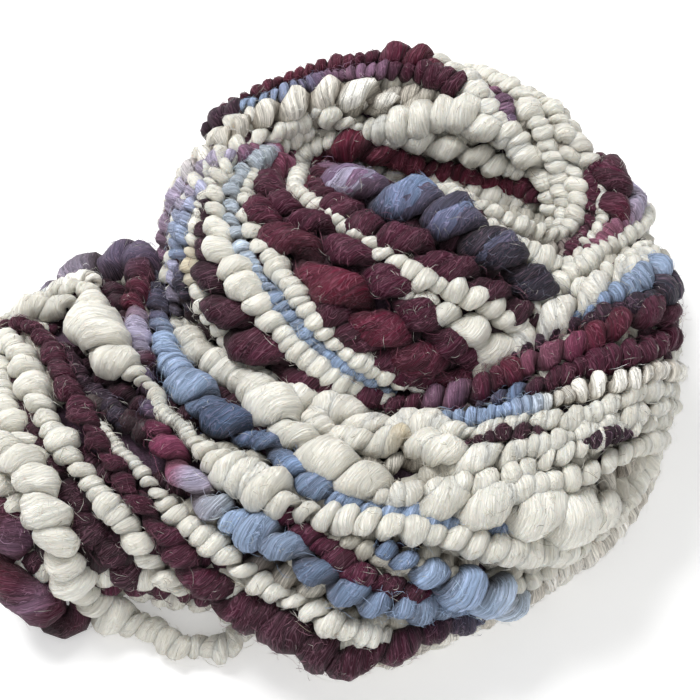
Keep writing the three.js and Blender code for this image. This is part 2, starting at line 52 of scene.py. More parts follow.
# Cross-sections of the two turns: widest point on the inner side (x, y), widest point on the outer side
# (x, y), height of the crest, and heights of the two widest points
OUTER = {
    "closed": False,
    "sections": [
        [-137, 42, -188, -10, 22, 8, 8], [-86, 62, -184, -28, 40, 16, 12], [-70, 32, -160, -76, 54, 26, 16],
        [-54, 14, -120, -98, 58, 28, 18], [-38, -1, -80, -102, 60, 30, 18], [-18, -11, -41, -112, 62, 32, 18],
        [6, -18, 0, -131, 64, 32, 18], [33, -12, 41, -118, 66, 32, 18], [54, 6, 82, -97, 70, 34, 18],
        [72, 22, 113, -72, 73, 36, 18], [92, 38, 131, -40, 74, 36, 18], [112, 52, 138, -10, 70, 34, 18],
        [124, 62, 142, 6, 56, 28, 16], [132, 68, 145, 14, 32, 18, 12], [134, 70, 147, 16, 8, 4, 3],
    ],
}
INNER = {
    "closed": True,
    "sections": [
        [84, 64, 136, 52, 62, 34, 22], [83, 74, 131, 77, 64, 34, 22], [77, 81, 112, 99, 68, 34, 24],
        [62, 86, 87, 127, 72, 34, 24], [36, 90, 40, 151, 74, 34, 24], [8, 92, -12, 145, 74, 34, 24],
        [-8, 92, -52, 122, 74, 34, 24], [-17, 90, -76, 96, 74, 34, 24], [-20, 86, -86, 62, 74, 36, 24],
        [-12, 84, -74, 8, 78, 38, 24], [12, 83, -37, -27, 84, 40, 24], [38, 78, 4, -38, 87, 40, 24],
        [62, 70, 46, -34, 82, 40, 24], [80, 62, 88, -16, 67, 36, 22], [84, 58, 122, 20, 60, 34, 22],
    ],
}

# Palette, as seen in daylight. "shade" is ivory darkened as painted shade, for ivory yarn that lies in
# shadow.
PALETTE = {
    "ivory": (0.92, 0.91, 0.87),
    "soft": (0.9, 0.888, 0.85),
    "shade": (0.76, 0.745, 0.7),
    "tan": (0.8, 0.755, 0.66),
    "wine": (0.24, 0.056, 0.138),
    "bright_wine": (0.34, 0.08, 0.16),
    "deep_wine": (0.165, 0.05, 0.1),
    "plum": (0.15, 0.075, 0.13),
    "mauve": (0.47, 0.35, 0.44),
    "pink": (0.53, 0.33, 0.415),
    "magenta": (0.45, 0.19, 0.3),
    "lilac": (0.66, 0.635, 0.72),
    "violet": (0.365, 0.335, 0.435),
    "sky": (0.555, 0.635, 0.745),
    "pale": (0.7, 0.75, 0.8),
    "blue": (0.405, 0.485, 0.6),
    "deep_blue": (0.3, 0.375, 0.49),
    "slate": (0.31, 0.31, 0.39),
    "charcoal": (0.165, 0.165, 0.21),
}
LIGHT_NAMES = ("ivory", "soft", "shade", "tan")

# Strands on the outer turn, parted by semicolons: name | lift over the turn | tightness | hairiness | colours
# by station | keys of station, lane and thickness. Tightness 1 is a tight coil, 0 long beads and less than 0
# two or three loose plies, and it may be given by station. Slashes part the colours of single plies.
OUTER_STRANDS = """
wine_long | 2 | -0.1 | 1.2 | 4.6 wine, 5.6 deep_wine, 6.4 wine, 6.9 plum, 7.2 slate |
  0.6 55 6, 1.25 51.5 8, 1.5 50.4 9, 1.8 49.8 10, 2.1 50.7 10, 2.55 53.5 10, 2.85 56.5 8.5, 3.1 59.2 8.5,
  3.35 62.5 8.5, 3.65 67.6 9, 3.9 71.6 9.5, 4.15 76 10, 4.4 82 12, 4.6 86.5 13.5, 4.85 90.3 15, 5.15 92 16,
  5.5 92 15.5, 5.87 93 15, 6.1 93 14, 6.35 91.7 13, 6.6 90.5 12, 6.9 90.5 11, 7.3 94 8;
mauve_to_sky | 1 | 0.2 | 1.1 | 0 violet, 0.35 lilac, 0.55 plum, 0.75 violet, 0.9 wine, 1.2 violet,
  1.4 wine, 1.85 bright_wine, 2.1 lilac, 2.4 lilac, 2.6 wine, 2.75 violet, 2.9 deep_wine, 3.1 violet,
  3.25 wine, 3.45 magenta, 3.8 magenta, 3.95 pink, 4.03 lilac, 4.3 lilac, 4.5 pale, 4.8 sky, 5.2 sky,
  5.6 blue, 7 sky |
  0 17 16, 0.4 17 20, 0.8 17.5 22, 1.1 20 20, 1.4 24.5 15, 1.7 28.5 12, 2 31 11.5, 2.5 36 9, 3 43.5 8,
  3.35 49.6 10, 3.6 53 14, 3.9 57.5 17, 4.2 62.3 17, 4.55 65.8 15, 4.9 67.7 15, 5.2 68.3 15, 5.5 69.7 15.5,
  5.9 72.8 14.5, 6.25 76.2 13, 6.6 81 11, 7 86 9, 7.3 91 8;
sky | 0 | -0.2 | 1.4 | 1.4 charcoal, 2.2 slate, 2.5 sky, 3.3 sky, 3.8 blue, 4.1 deep_blue, 4.5 deep_blue,
  5 blue, 6.5 sky, 8 blue |
  1.4 18 8, 2 23 10, 2.5 29 10, 3 34 12, 3.4 37.5 16, 3.85 40.5 20, 4.2 43.5 20, 4.6 45.5 13, 5 47 12,
  5.5 51.5 11, 6 54 9, 6.5 57.5 9, 7 64.5 8, 7.4 70 7, 8 77 7;
fluffy_ivory | 1 | 2 0, 5 0.1, 6.5 0.35, 9 0.35 | 1.6 | 2.3 soft, 4.5 ivory, 9 ivory |
  2.3 22 8, 2.6 23.5 11, 2.9 25 12, 3.25 26 12, 3.75 27 13, 4.25 30 14, 4.75 35.5 19, 5.25 42 19,
  5.75 46 20, 6.1 48.5 20, 6.5 54 14, 7 60 19, 7.5 66 22, 8 75 24, 8.5 82 21, 8.9 88 16;
shaded_ivory | 1 | -0.2 | 0.9 | 4.4 soft, 6.5 soft, 7.5 ivory |
  4.4 22 10, 4.75 26 12, 5.25 29.5 15, 5.6 28 14, 6 30.5 14, 6.4 34 12, 6.75 36 14, 7 40 12, 7.25 44.5 9,
  7.5 47 8, 8 52 8, 8.5 58 8.5, 9 62 9, 9.5 67 9, 10 75 9, 10.5 86 8;
streaked_ivory | 1.5 | -0.1 | 0.9 | 5.2 soft, 6.3 ivory, 6.5 tan, 6.7 ivory |
  5.2 33 9, 5.5 36 11, 6 38 12, 6.4 37.5 13, 6.75 42 14, 7.05 49 16, 7.3 52 12, 7.6 55 10, 8 58 9,
  8.5 62 9, 9 66 9, 9.5 72 9, 10 80 9, 10.4 88 8;
pale_beads | 2.5 | 0.7 | 0.7 | 6.9 sky, 8 sky, 8.2 pale, 8.4 ivory |
  6.9 36 7, 7.25 40 9, 7.5 43 8, 8 48.5 9, 8.5 53 9, 9 56 12, 9.5 63 10, 10 70 9, 10.5 79 9, 10.9 88 8;
ivory_row_one | 2.5 | 0.4 | 0.8 | 6.1 soft, 6.7 soft, 7 ivory |
  6.1 52.5 9, 6.75 54 11, 7 56 10, 7.5 60 12, 8 62 10, 8.5 65 9, 9 68.5 9, 9.5 75 9, 10 84 9;
ivory_row_two | 2.5 | 0.4 | 0.8 | 7.2 ivory |
  7.2 62 12, 7.6 64 12, 8 67 11, 8.5 71 10, 9 74 9, 9.5 80 9, 9.9 88 8;
seam_wine | 2 | 0.3 | 1.2 | 6.2 wine, 6.8 wine, 7 mauve, 7.15 bright_wine, 7.3 mauve, 7.5 wine,
  8.2 bright_wine, 8.5 pink, 8.9 magenta, 9.4 bright_wine, 10.2 wine |
  6.2 24 8, 6.6 28 9, 7 30 11, 7.3 33 12, 7.75 36.5 11, 8.25 38.5 11, 8.75 42.5 12, 9.15 46 12, 9.5 48 12,
  10 53 14, 10.5 60 16, 10.9 66 14, 11.2 72 10;
seam_wine_two | 0 | 0.3 | 1 | 7.4 plum, 7.7 slate, 7.9 blue, 8.1 plum, 8.4 wine, 11.4 wine |
  7.4 38 6, 7.75 41 7, 8.25 45 9, 8.75 48 9, 9.1 51 11, 9.5 56 11, 10 63.5 11, 10.5 69 11, 10.9 75 10,
  11.2 80 8;
plum | 1 | 0.3 | 1 | 7.6 plum, 10 plum, 10.4 charcoal |
  7.6 31 6, 8 34 7, 8.5 34.5 7, 9 37 8, 9.5 43 9, 10 48.5 11, 10.5 55 14, 11 58 14, 11.4 59.5 12, 11.7 61 8;
right_blue | 1 | 0.5 | 0.9 | 9.2 blue, 10.2 sky, 11 sky, 12 blue |
  9.2 36 6, 9.5 40 8, 10 43 9, 10.5 47 11, 10.9 50 14, 11.3 50.5 14, 11.65 51.5 10;
seam_ivory | 0 | -0.6 | 1 | 7.4 shade, 8.5 soft, 10 soft |
  7.4 28 10, 8 31 12, 8.6 31 14, 9.2 34 17, 9.8 37 14, 10.3 39 12, 10.8 43 10, 11.3 43 10, 11.8 44 8;
seam_beads | 1 | 0.6 | 0.6 | 9.4 ivory |
  9.4 27 9, 9.85 33.5 9, 10.2 34 8, 10.6 37 8, 11.1 36 8, 11.6 37 8;
main_corkscrew | 3 | 0.2 0.4, 1.2 0, 2.2 0.1, 2.6 0.7, 3 0.9, 4.2 1, 5.2 1, 6 0.6, 7 0.2 | 0.8 | 0.2 ivory |
  0.2 43 8, 0.8 41 9, 1.2 38.5 10, 1.42 39 14, 1.6 39.5 25, 1.8 40 32, 1.98 40.5 29, 2.14 41 21, 2.3 41 18,
  2.6 40.8 10, 2.9 42.1 8, 3.15 44 7, 3.35 46.2 6, 3.6 47.7 5.5, 3.8 49.2 6, 4.05 52.2 10, 4.4 55.3 15,
  4.75 57 18, 5.1 58.6 18, 5.4 59 14, 5.9 57.5 11.5, 6.2 58.2 11, 6.5 60.7 11, 7 68 12.5, 7.5 77 12,
  8 85 11, 8.3 91 9;
under_ivory | -1 | 0.4 | 0.6 | 5 shade |
  5.6 61.5 6, 6 63 8, 6.4 67.5 8, 6.8 74 8, 7.2 80 8;
low_blue | 1 | 0.4 | 1 | 6.2 blue, 6.8 sky, 7.25 sky, 7.5 pale |
  6.2 63 8, 6.5 68 10, 6.8 75 13, 7.1 82 18, 7.35 88 19, 7.55 97 16, 7.6 106 12;
under_wine | -1 | -0.1 | 0.8 | 4.4 wine |
  4.4 56 7, 5 61 8, 5.6 64 9, 6 68.5 10, 6.4 74.5 10, 6.8 81 9;
ivory_beads | 0 | 0.7 | 0.6 | 2.5 ivory |
  2.5 52 5, 3 55.5 6, 3.4 59.5 7, 3.7 62.9 7.5, 3.9 67 8, 4.15 70.3 10, 4.55 74.8 12, 4.8 78 12, 5 81 12.5,
  5.25 82.3 13, 5.6 82.2 12, 6.05 84.3 11, 6.4 88 9;
left_ivory | 1 | 0.5 | 0.7 | 0.2 ivory |
  0.2 59 10, 0.8 58 10, 1.5 56 13, 2.05 57.3 13, 2.45 59.9 12, 2.75 62.4 11, 3 64.8 11, 3.2 67.1 11,
  3.55 71.8 12, 3.8 78 13, 4 84 13, 4.2 88.5 12, 4.4 94 9;
far_left_ivory | 0 | 0.5 | 0.7 | 0.2 ivory |
  0.2 69 13, 0.8 65 13, 1.3 62 12, 1.9 63 11, 2.3 65 12, 2.7 68 11;
left_wine | -4 | -0.1 | 1.6 | 1.6 deep_wine |
  1.6 60 8, 2.1 61.5 9, 2.5 64.8 11, 2.85 69.1 12, 3.15 74.4 13, 3.45 80 13, 3.7 87 13, 3.85 93 12,
  4.1 98 11, 4.5 100 10;
low_left_wine | -3 | -0.1 | 1.4 | 0.2 deep_wine |
  0.2 90 10, 1 87 11, 1.8 86 12, 2.4 88 12, 2.9 92 11, 3.4 97 9;
end_ivory | 1 | 0.2 | 1 | 0.1 ivory |
  0.1 54 10, 0.5 51 14, 0.85 48 17, 1.1 44 14, 1.3 41 10;
end_pale_loop | 2 | 0.5 | 0.7 | 0.1 pale, 0.7 ivory |
  0.1 33 9, 0.6 34 9, 1.2 35 8;
end_low_ivory | 0 | 0.4 | 0.8 | 0.1 ivory |
  0.1 83 11, 0.8 79 12, 1.5 76.5 13, 2.1 75 14, 2.5 76 14, 2.8 78 11;
speckled_plum | -4 | 0.2 | 1 | 1.5 deep_wine, 3 charcoal |
  1.5 47 8, 2 47.5 9, 2.5 48 9, 3 51 8
"""

# Strands on the inner turn, in the same form
INNER_STRANDS = """
right_wine | 1 | -0.3 | 1.3 | -0.6 bright_wine, 0.2 wine, 2.4 wine |
  -0.6 51 8, -0.2 53 12, 0.3 54.5 14, 0.8 56 15, 1.1 61 14, 1.35 70 12, 1.6 80 10, 1.9 90 8;
thin_right_wine | 0 | 0.1 | 1 | -1.6 wine |
  -1.6 45 6, -1.2 41.5 7, -0.6 40.5 7, 0 41.5 7, 0.6 43 7, 1 46 7, 1.25 54 7, 1.5 65 7, 1.8 78 7;
ivory_between | 0 | 0.5 | 0.6 | -1.6 soft |
  -1.6 48 9, -1 45 8, -0.5 47 8, 0 48 8, 0.8 48.5 7, 1.15 57 7, 1.4 68 8, 1.7 82 8;
mauve_pink | 1 | 0.7 | 0.8 | -1.4 bright_wine, -1 pink, -0.4 pink, 0.2 lilac, 1.6 lilac |
  -1.4 50 6, -0.9 51 8, -0.5 54.5 9, -0.2 58.5 9, 0.1 63 9, 0.5 71 9, 1 80 8, 1.6 92 8;
seam_bead_row | 1 | 0.7 | 0.6 | -2.4 ivory |
  -2.4 66 12, -2.05 58 13, -1.75 53.5 11, -1.35 54 12, -0.95 54.5 10, -0.6 60 10, -0.3 66 9, 0.1 73 9,
  0.6 83 9, 1.1 93 8;
slit_turn | 1 | 0.5 | 0.6 | -4.5 soft, -3 ivory |
  -3.9 21 8, -3.6 25 11, -3.25 28.5 11, -2.9 30.5 10, -2.5 31 9, -2 29 9, -1.4 28.5 9, -0.8 29.5 9,
  -0.2 32.5 10, 0.4 34 10, 1 35.5 9, 1.5 40 10, 1.9 47 11, 2.3 56 11, 2.8 68 10, 3.3 82 9;
slit_end_ivory | 0 | 0.4 | 0.8 | -3.3 ivory |
  -3.3 36 6, -2.9 38.5 9, -2.5 42 10, -2.1 45 12, -1.7 49 12, -1.2 55 10;
right_arc | 0 | 0.5 | 0.5 | -1.8 ivory |
  -1.8 24 8, -1 24 9, -0.2 24 10, 0.4 25 10, 1 27 11, 1.5 30 11, 2 36 11, 2.5 44 12, 2.9 54 12, 3.3 66 11,
  3.8 80 10;
big_right_ivory | 1 | 0.5 | 0.5 | -1 ivory |
  -1 19 9, -0.4 17 10, 0.2 16 10, 0.8 17 11, 1.3 19 12, 1.8 22 15, 2.2 25 18, 2.6 28 14, 3 32 12,
  3.3 38 12, 3.6 48 11, 4 62 11, 4.4 76 10;
slit_wine | 3 | 1 0.5, 4.2 0.4, 4.8 0, 7 0 | 1.3 | 1 wine, 2.5 bright_wine, 6 bright_wine, 7 wine |
  1 11 6, 1.6 9 8, 2.1 8 9, 2.6 4.5 11, 2.95 5 12, 3.4 8 10, 3.9 8 10, 4.45 11.5 12, 4.8 16 14, 5.25 19 18,
  5.7 18 18, 6.15 15 16, 6.6 12 14, 7 9 12;
slit_back_ivory | 2 | 0.2 | 0.9 | 2.6 ivory |
  2.5 14 9, 2.85 15 10, 3.2 16 12, 3.55 17 13, 3.9 18.5 14, 4.2 20 14, 4.55 23 12, 4.9 27 9;
middle_wine | 1 | -0.4 | 1.3 | 9.2 wine, 11.4 wine, 12.6 deep_wine |
  9.2 18 12, 9.4 26 12, 9.7 37 12, 10 41 13, 10.4 45.5 14, 11 48.5 14, 11.5 53 13, 12 57 13, 12.4 62.5 12,
  12.9 71 10;
slit_ivory | 0 | 0.6 | 0.6 | 1.9 soft |
  1.9 16 7, 2.3 14 8, 2.6 14.5 8, 2.9 13.5 8, 3.3 13 7.5;
big_back_ivory | 2 | 0.5 | 0.7 | 2.2 ivory |
  2.2 24 10, 2.7 27 11, 3.1 28 14, 3.5 33.5 18, 3.9 31 18, 4.3 27 20, 4.65 24 14, 5 23 10, 5.2 26 9,
  5.45 31 13, 5.8 36 12;
outer_back_ivory | 0 | 0.4 | 0.6 | 4.4 ivory, 7.7 ivory, 7.95 lilac, 8.4 mauve |
  4.4 36 10, 4.75 39 15, 5.2 42.5 16, 5.75 41 16, 6.2 43 14, 6.6 47 13, 7 50 12, 7.4 56 12, 7.8 66 12,
  8.1 78 11, 8.4 90 10;
left_back_ivory | 0 | 0.4 | 0.7 | 5.6 ivory |
  5.6 36 10, 6 33 12, 6.4 32 12, 6.8 33 11, 7.2 37 11, 7.6 45 10, 7.9 54 10, 8.1 63 9, 8.3 73 9, 8.6 85 9;
long_ivory | 2 | 0.6 | 0.6 | 5.1 ivory |
  5.1 20 8, 5.6 21.5 10, 6 20 10, 6.5 19 10, 7 17 10, 7.5 14 9, 8 13 9, 8.6 18 9, 9 27 9, 9.3 36 8,
  9.5 39.5 8, 10 43.5 8, 10.5 48.5 9, 11 54 10, 11.5 57.5 11, 12 60.5 12, 12.4 66 11, 12.8 75 10;
left_turn_ivory | 0 | 0.4 | 0.7 | 5.9 ivory |
  5.9 27 9, 6.3 26 10, 6.8 25 10, 7.4 25 9;
wine_inner_one | 0 | -0.4 | 1.4 | 6.9 pink, 8.2 pink, 8.4 magenta, 8.7 wine, 12.4 wine |
  6.9 19 8, 7.4 18 10, 7.9 21 11, 8.3 26 11, 8.7 35 12, 9 40 13, 9.5 45 13, 10 47.5 13, 10.5 53 13,
  11 59 13, 11.5 67 13, 12 75 12, 12.4 82 10;
pale_blue | 1 | 0.3 | 1.2 | 7.2 magenta, 7.5 pink, 7.75 lilac, 7.95 pale, 9.4 pale, 9.8 sky, 11 sky |
  7.2 28 9, 7.6 28 11, 8 33 11, 8.3 41 10, 8.55 49 9, 9 56 8.5, 9.5 62 6, 9.8 66 7, 10.2 70.5 7, 10.6 76 7,
  11 80 7, 11.3 82.5 6;
lilac_beads | 0 | 0.5 | 0.9 | 7.5 pink, 7.85 mauve, 7.95 lilac, 8.2 lilac, 8.5 sky, 8.7 lilac,
  8.85 charcoal |
  7.5 36 8, 7.75 39 9, 7.95 46 11, 7.9 52 9, 7.95 58 9, 8.15 65 9, 8.35 73 9, 8.6 82 9, 8.9 91 9;
ivory_left_one | 1 | 0.5 | 0.8 | 7.9 ivory |
  7.9 45 8, 8.1 50 9, 8.5 56.5 10, 8.9 60.5 12, 9.1 64.5 18, 9.4 65.5 18, 9.7 69.5 13, 10 73 11,
  10.4 77 11, 10.7 80.5 11, 11.1 83.5 9, 11.5 87 8;
ivory_left_two | 1 | 0.6 | 0.7 | 8.4 ivory |
  8.4 38 6, 8.8 46.5 8, 9.1 52 9.5, 9.5 57.5 11, 10 64 10.5, 10.4 69.5 10, 10.9 76 9.5, 11.3 79.2 9,
  11.6 82 9, 11.9 86 8;
ivory_left_rim | 0 | 0.6 | 0.7 | 7.9 ivory, 8.65 ivory, 8.85 tan, 9.05 ivory |
  7.9 52 7, 8.3 59 8, 8.6 66 8, 8.8 73 10, 9.1 77 10, 9.4 80 9, 9.7 83.5 8, 10.1 86 8;
dark_plum | 0 | -0.3 | 1.2 | 8.3 plum, 9.3 deep_wine, 9.9 wine, 11.5 wine |
  8.3 58 5, 8.6 62.5 7, 8.9 67 10, 9.2 72 14, 9.6 77 19, 10 79.5 20, 10.5 82 17, 11 84 13, 11.5 87 9;
wine_inner_two | 0 | -0.5 | 1.5 | 8.9 wine, 10.5 bright_wine, 12.2 wine |
  8.9 44 8, 9.2 49 13, 9.5 52.5 16, 10 56.5 18, 10.5 62 19, 11 68 18, 11.4 74 16, 11.8 79 13, 12.2 84 11;
big_middle_ivory | 0 | 0.25 | 1 | 11 ivory |
  11 59.5 8, 11.35 62 10, 11.7 65.5 14, 12 70.5 20, 12.3 75 18, 12.7 82 12;
mauve_to_slate | 2 | -0.7 | 1.8 | 9.1 wine, 9.4 mauve, 10 mauve, 10.5 violet, 11 slate, 11.6 slate,
  12 charcoal, 13.3 charcoal / 9.1 wine, 9.4 mauve, 9.9 lilac, 10.5 violet, 10.9 blue, 11.3 violet,
  11.7 blue, 12.1 slate, 12.6 charcoal / 9.1 wine, 9.4 mauve, 10.2 violet, 10.8 blue, 11.1 slate,
  11.7 charcoal, 13.3 charcoal |
  9.1 16 9, 9.5 25 14, 9.95 32.5 18, 10.5 34.5 20, 11.1 37 20, 11.5 40 20, 11.95 44.5 20, 12.5 52 17,
  12.9 61 12, 13.3 71 9;
top_wine | 3 | 3.9 0.1, 4.6 0.4, 7 0.5 | 0.9 | 3.9 bright_wine, 4.7 wine, 5.4 bright_wine, 6.5 wine |
  3.9 54 9, 4.15 58 13, 4.4 61 14, 4.7 62 10, 5 62 8, 5.5 63 7, 6 67 7, 6.35 71 7, 6.6 75 6;
plum_to_sky | 2 | 0.8 | 0.8 | 3.4 wine, 4.4 wine, 4.65 mauve, 5.1 mauve, 5.4 violet, 6.4 sky, 7.1 sky |
  3.4 43 8, 3.75 47 12, 4.1 50.5 12, 4.5 52.5 9, 5 53 7.5, 5.5 53 7, 6 53.5 7, 6.25 56 6.5, 6.4 60 6,
  6.55 64 5;
top_dark_bead | 1 | 0.2 | 0.8 | 6.1 plum |
  6.25 61 8, 6.55 65.5 12, 6.78 69.4 15, 6.95 73 9;
top_mauve | 1 | 0.2 | 0.9 | 2.9 violet, 3.2 mauve, 3.5 bright_wine |
  2.85 32 5, 3.05 40 7, 3.25 48 7.5, 3.45 55 6;
wine_bead | 0 | 0.2 | 0.9 | 1.5 wine |
  1.5 15 8, 1.8 14.5 10, 2.1 14 8;
wine_inner_three | 0 | -0.4 | 1.2 | 10.1 wine |
  10.1 62 8, 10.5 67 12, 11 73.5 12, 11.4 78.5 10, 11.8 83 9;
second_slate | 0 | 0.4 | 0.9 | 8.1 lilac, 8.6 sky, 8.75 slate, 8.9 charcoal |
  8.1 55 8, 8.2 58 8, 8.35 66 9, 8.6 75 9, 8.85 80 9, 9.05 83 9;
thin_wine | 0 | 0.3 | 0.7 | 7.9 wine |
  7.9 66 5, 8 72 5, 8 80 5, 8.05 90 5;
top_right_ivory | 0 | 0.4 | 0.5 | 3.2 soft |
  3.2 40 8, 3.45 48 9, 3.7 57 9, 4 66 9, 4.3 78 9, 4.7 90 9;
left_outer_ivory | -2 | 0.3 | 0.7 | 6.3 soft |
  6.3 52 10, 6.7 56 11, 7 61 11, 7.3 69 10, 7.6 79 10, 7.9 90 9;
outer_arc_ivory | 0 | 0.4 | 0.6 | 0.9 soft |
  1.1 52 7, 1.45 51 10, 1.9 57 11, 2.3 65 11, 2.7 74 10, 3.1 84 9;
plum_peek | -2 | 0.2 | 0.7 | 5.4 plum |
  5.4 22 8, 5.65 28 8, 5.9 34 8;
slit_wine_start | -1 | 0.1 | 1.3 | 9.2 bright_wine, 9.6 wine |
  9.15 24 8, 9.28 28 9, 9.38 32 9, 9.46 37 9, 9.53 42 8
"""

# Strands that follow neither turn. Their keys are x, y, z and thickness, and their lift isn't used.
LOOSE_STRANDS = """
loose_loop | 0 | 0.3 | 0.9 | 0 ivory |
  -145 -43 50 12, -134 -55 55 13, -125 -64 56 14, -119 -75 54 16, -115 -84 49 17, -113 -91 44 18,
  -112 -95 37 17, -108 -99 27 15, -104 -101 17 15, -97 -104 8 16, -87 -108 7 13, -74 -114 6 11,
  -66 -118 6 10, -59 -117 6 9, -52 -119 6 9, -45 -114 8 9, -36 -104 14 8;
left_bight | 0 | -0.2 | 1.6 | 0 deep_wine, 1.5 wine, 2.5 mauve, 3.2 bright_wine, 4.2 wine, 5 mauve,
  5.5 wine |
  -146 -62 38 16, -141 -70 38 18, -137 -79 34 20, -134 -87 29 21, -130 -94 24 22, -127 -100 18 22,
  -123 -105 12 21, -116 -105 8 19, -110 -99 7 15, -108 -92 8 11;
dark_between | 0 | 0.2 | 1 | 0 deep_wine |
  44 -58 67 4, 49 -57 68.5 7, 55 -55.5 69.5 8, 62 -54.5 70 8, 69 -54 70.5 7, 75 -54 70 4;
plum_between | 0 | 0.2 | 1 | 0 plum |
  87 -59 67 4, 92 -57 68 6, 99 -54 67 6.5, 106 -51 64 5.5, 111 -49 62 4
"""

# How far the strands of the two tables sink into their turn, and how wide they stay, pressed by the others
SINK = 3.0
PRESS = 0.95

# Long strands: distances from the outer turn's ends, step of their keys, and how far they wander in lanes
LONG_ENDS = (0.25, 1.6)
LONG_STEP = 0.5
LONG_WANDER = 2.0

# Long strands below the others on both turns: lane and kind, and the colours of each kind by station
UNDER_LANES = [(4, "light"), (14, "dyed"), (24, "light"), (33, "dyed"), (42, "dyed"), (51, "light"),
               (60, "dyed"), (69, "light"), (78, "dyed"), (86, "light")]
UNDER_LIFT = -8.5
UNDER_THICKNESS = 12
UNDER_TIGHT = 0.2
OUTER_UNDER = {
    "light": "0 shade, 2.1 shade, 2.4 deep_wine, 3.8 deep_wine, 4.2 shade, 14 shade",
    "dyed": "0 deep_wine, 4.8 deep_wine, 5.3 shade, 9.5 shade, 10 deep_wine",
}
INNER_UNDER = {
    "light": "8.5 shade, 8.8 deep_wine, 12.6 deep_wine, 12.9 shade, 14 shade",
    "dyed": "5 shade, 7 deep_wine, 12.6 deep_wine, 13 shade, 14.2 wine",
}

# Long strands of the sides: lane, thickness and colour. The outer turn's wine ones become ivory at the right.
SIDE_LANES = [
    (-38, 13, "shade"), (-24, 13, "wine"), (-11, 12, "soft"),
    (92, 12, "ivory"), (99, 12, "wine"), (107, 13, "soft"), (116, 14, "ivory"), (126, 14, "wine"),
    (137, 14, "shade"),
]
SIDE_LIFT = -6
SIDE_TIGHT = 0.3
SIDE_FUZZ = 0.35
OUTER_SIDE_WINE = "0 wine, 5.8 wine, 6.2 soft, 14 soft"

# Yarn at the bottom of the slit, on a dome: its middle, half sizes and turn, the share that is laid, how far
# below it the rows lie, and their places across it
SLIT_MIDDLE = (34, 77, 26)
SLIT_HALF = (72, 24, 18)
SLIT_TURN = -0.22
SLIT_SHARE = 0.95
SLIT_SINK = 4
SLIT_ROWS = [(-0.8, "shade"), (-0.4, "wine"), (0.0, "shade"), (0.4, "soft"), (0.8, "deep_wine")]
SLIT_THICKNESS = 11
SLIT_FUZZ = 0.5

# Bights that turn down over the ends of the outer turn: line of the end, way out from it, and place along the
# line, slant, thickness and colour of each bight. Their profile is the way out and the height.
END_PROFILE = [[-8, 33], [0, 31], [5, 26], [8, 19], [8.5, 12], [8, 6.5], [0, 5.5]]
ENDS = [
    ([[-93, 50], [-175, -18]], [-0.64, 0.77],
     [(0.25, 2, 14, "wine"), (0.345, 4, 13, "soft"), (0.435, -2, 14, "wine"), (0.525, 4, 13, "ivory"),
      (0.61, -2, 14, "deep_wine"), (0.70, 3, 14, "soft"), (0.79, -3, 14, "wine"), (0.88, 2, 14, "ivory"),
      (0.97, 3, 13, "soft")]),
    ([[130, 12], [131, 52]], [1, 0],
     [(0.02, 2, 14, "soft"), (0.28, 3, 14, "wine"), (0.54, -2, 14, "ivory"), (0.8, 2, 14, "deep_wine"),
      (1.05, -2, 13, "soft")]),
]

# Each strand's seed, in the order in which they are laid
SEEDS = itertools.count(100, 17)


def rows(text):
    """Rows of numbers, from text with a comma between the rows."""
    return [[float(value) for value in row.split()] for row in text.split(",")]


def colour_stops(text):
    """(station, colour name) along a strand, from text such as "4.6 wine, 5.6 plum"."""
    return [(float(station), name) for station, name in (stop.split() for stop in text.split(","))]


def strands(table):
    """The strands of a table: lift, tightness, hairiness, colour stops for each ply, and keys."""
    for strand in table.split(";"):
        _, lift, tight, fuzz, colours, keys = strand.split("|")
        tight = rows(tight) if "," in tight else float(tight)
        yield float(lift), tight, float(fuzz), [colour_stops(ply) for ply in colours.split("/")], rows(keys)


def key_at(keys, place, closed=False):
    """Smooth values (Catmull-Rom) of rows of keys at real positions along them."""
    keys = np.asarray(keys, float)
    count = len(keys)
    place = np.asarray(place, float)
    if not closed:
        place = np.clip(place, 0, count - 1 - 1e-9)
    base = np.floor(place).astype(int)
    part = (place - base)[:, None]
    near = []
    for step in (-1, 0, 1, 2):
        index = (base + step) % count if closed else np.clip(base + step, 0, count - 1)
        near.append(keys[index])
    before, start, end, after = near
    return 0.5 * (2 * start + (end - before) * part + (2 * before - 5 * start + 4 * end - after) * part ** 2
                  + (3 * start - before - 3 * end + after) * part ** 3)


def turn_point(turn, station, lane):
    """Points of a turn's surface at stations and lanes."""
    section = key_at(turn["sections"], station, turn["closed"])
    angle = (math.pi / 2) * (np.asarray(lane, float) / LANE_TO_CREST)
    across = (1 - np.cos(angle)) / 2
    low = section[:, 5] + (section[:, 6] - section[:, 5]) * across
    rise = np.sin(angle)
    height = np.where(rise >= 0, low + (section[:, 4] - low) * rise, low + low * UNDERCUT * rise)
    x = section[:, 0] + (section[:, 2] - section[:, 0]) * across
    y = section[:, 1] + (section[:, 3] - section[:, 1]) * across
    return np.stack([x, y, height], 1)


def unit(vectors):
    """Vectors along the last axis, at length 1."""
    return vectors / np.maximum(np.linalg.norm(vectors, axis=-1, keepdims=True), 1e-9)


def turn_normal(turn, station, lane):
    """Directions out of a turn's surface."""
    small = 0.02
    along = turn_point(turn, station + small, lane) - turn_point(turn, station - small, lane)
    across = turn_point(turn, station, lane + 1) - turn_point(turn, station, lane - 1)
    return unit(np.cross(across, along))


def linear(colour):
    """Palette colour as linear light."""
    return np.array([c / 12.92 if c <= 0.04045 else ((c + 0.055) / 1.055) ** 2.4 for c in colour])


LINEAR = {name: linear(colour) for name, colour in PALETTE.items()}
NOISE_SIZE = 4096


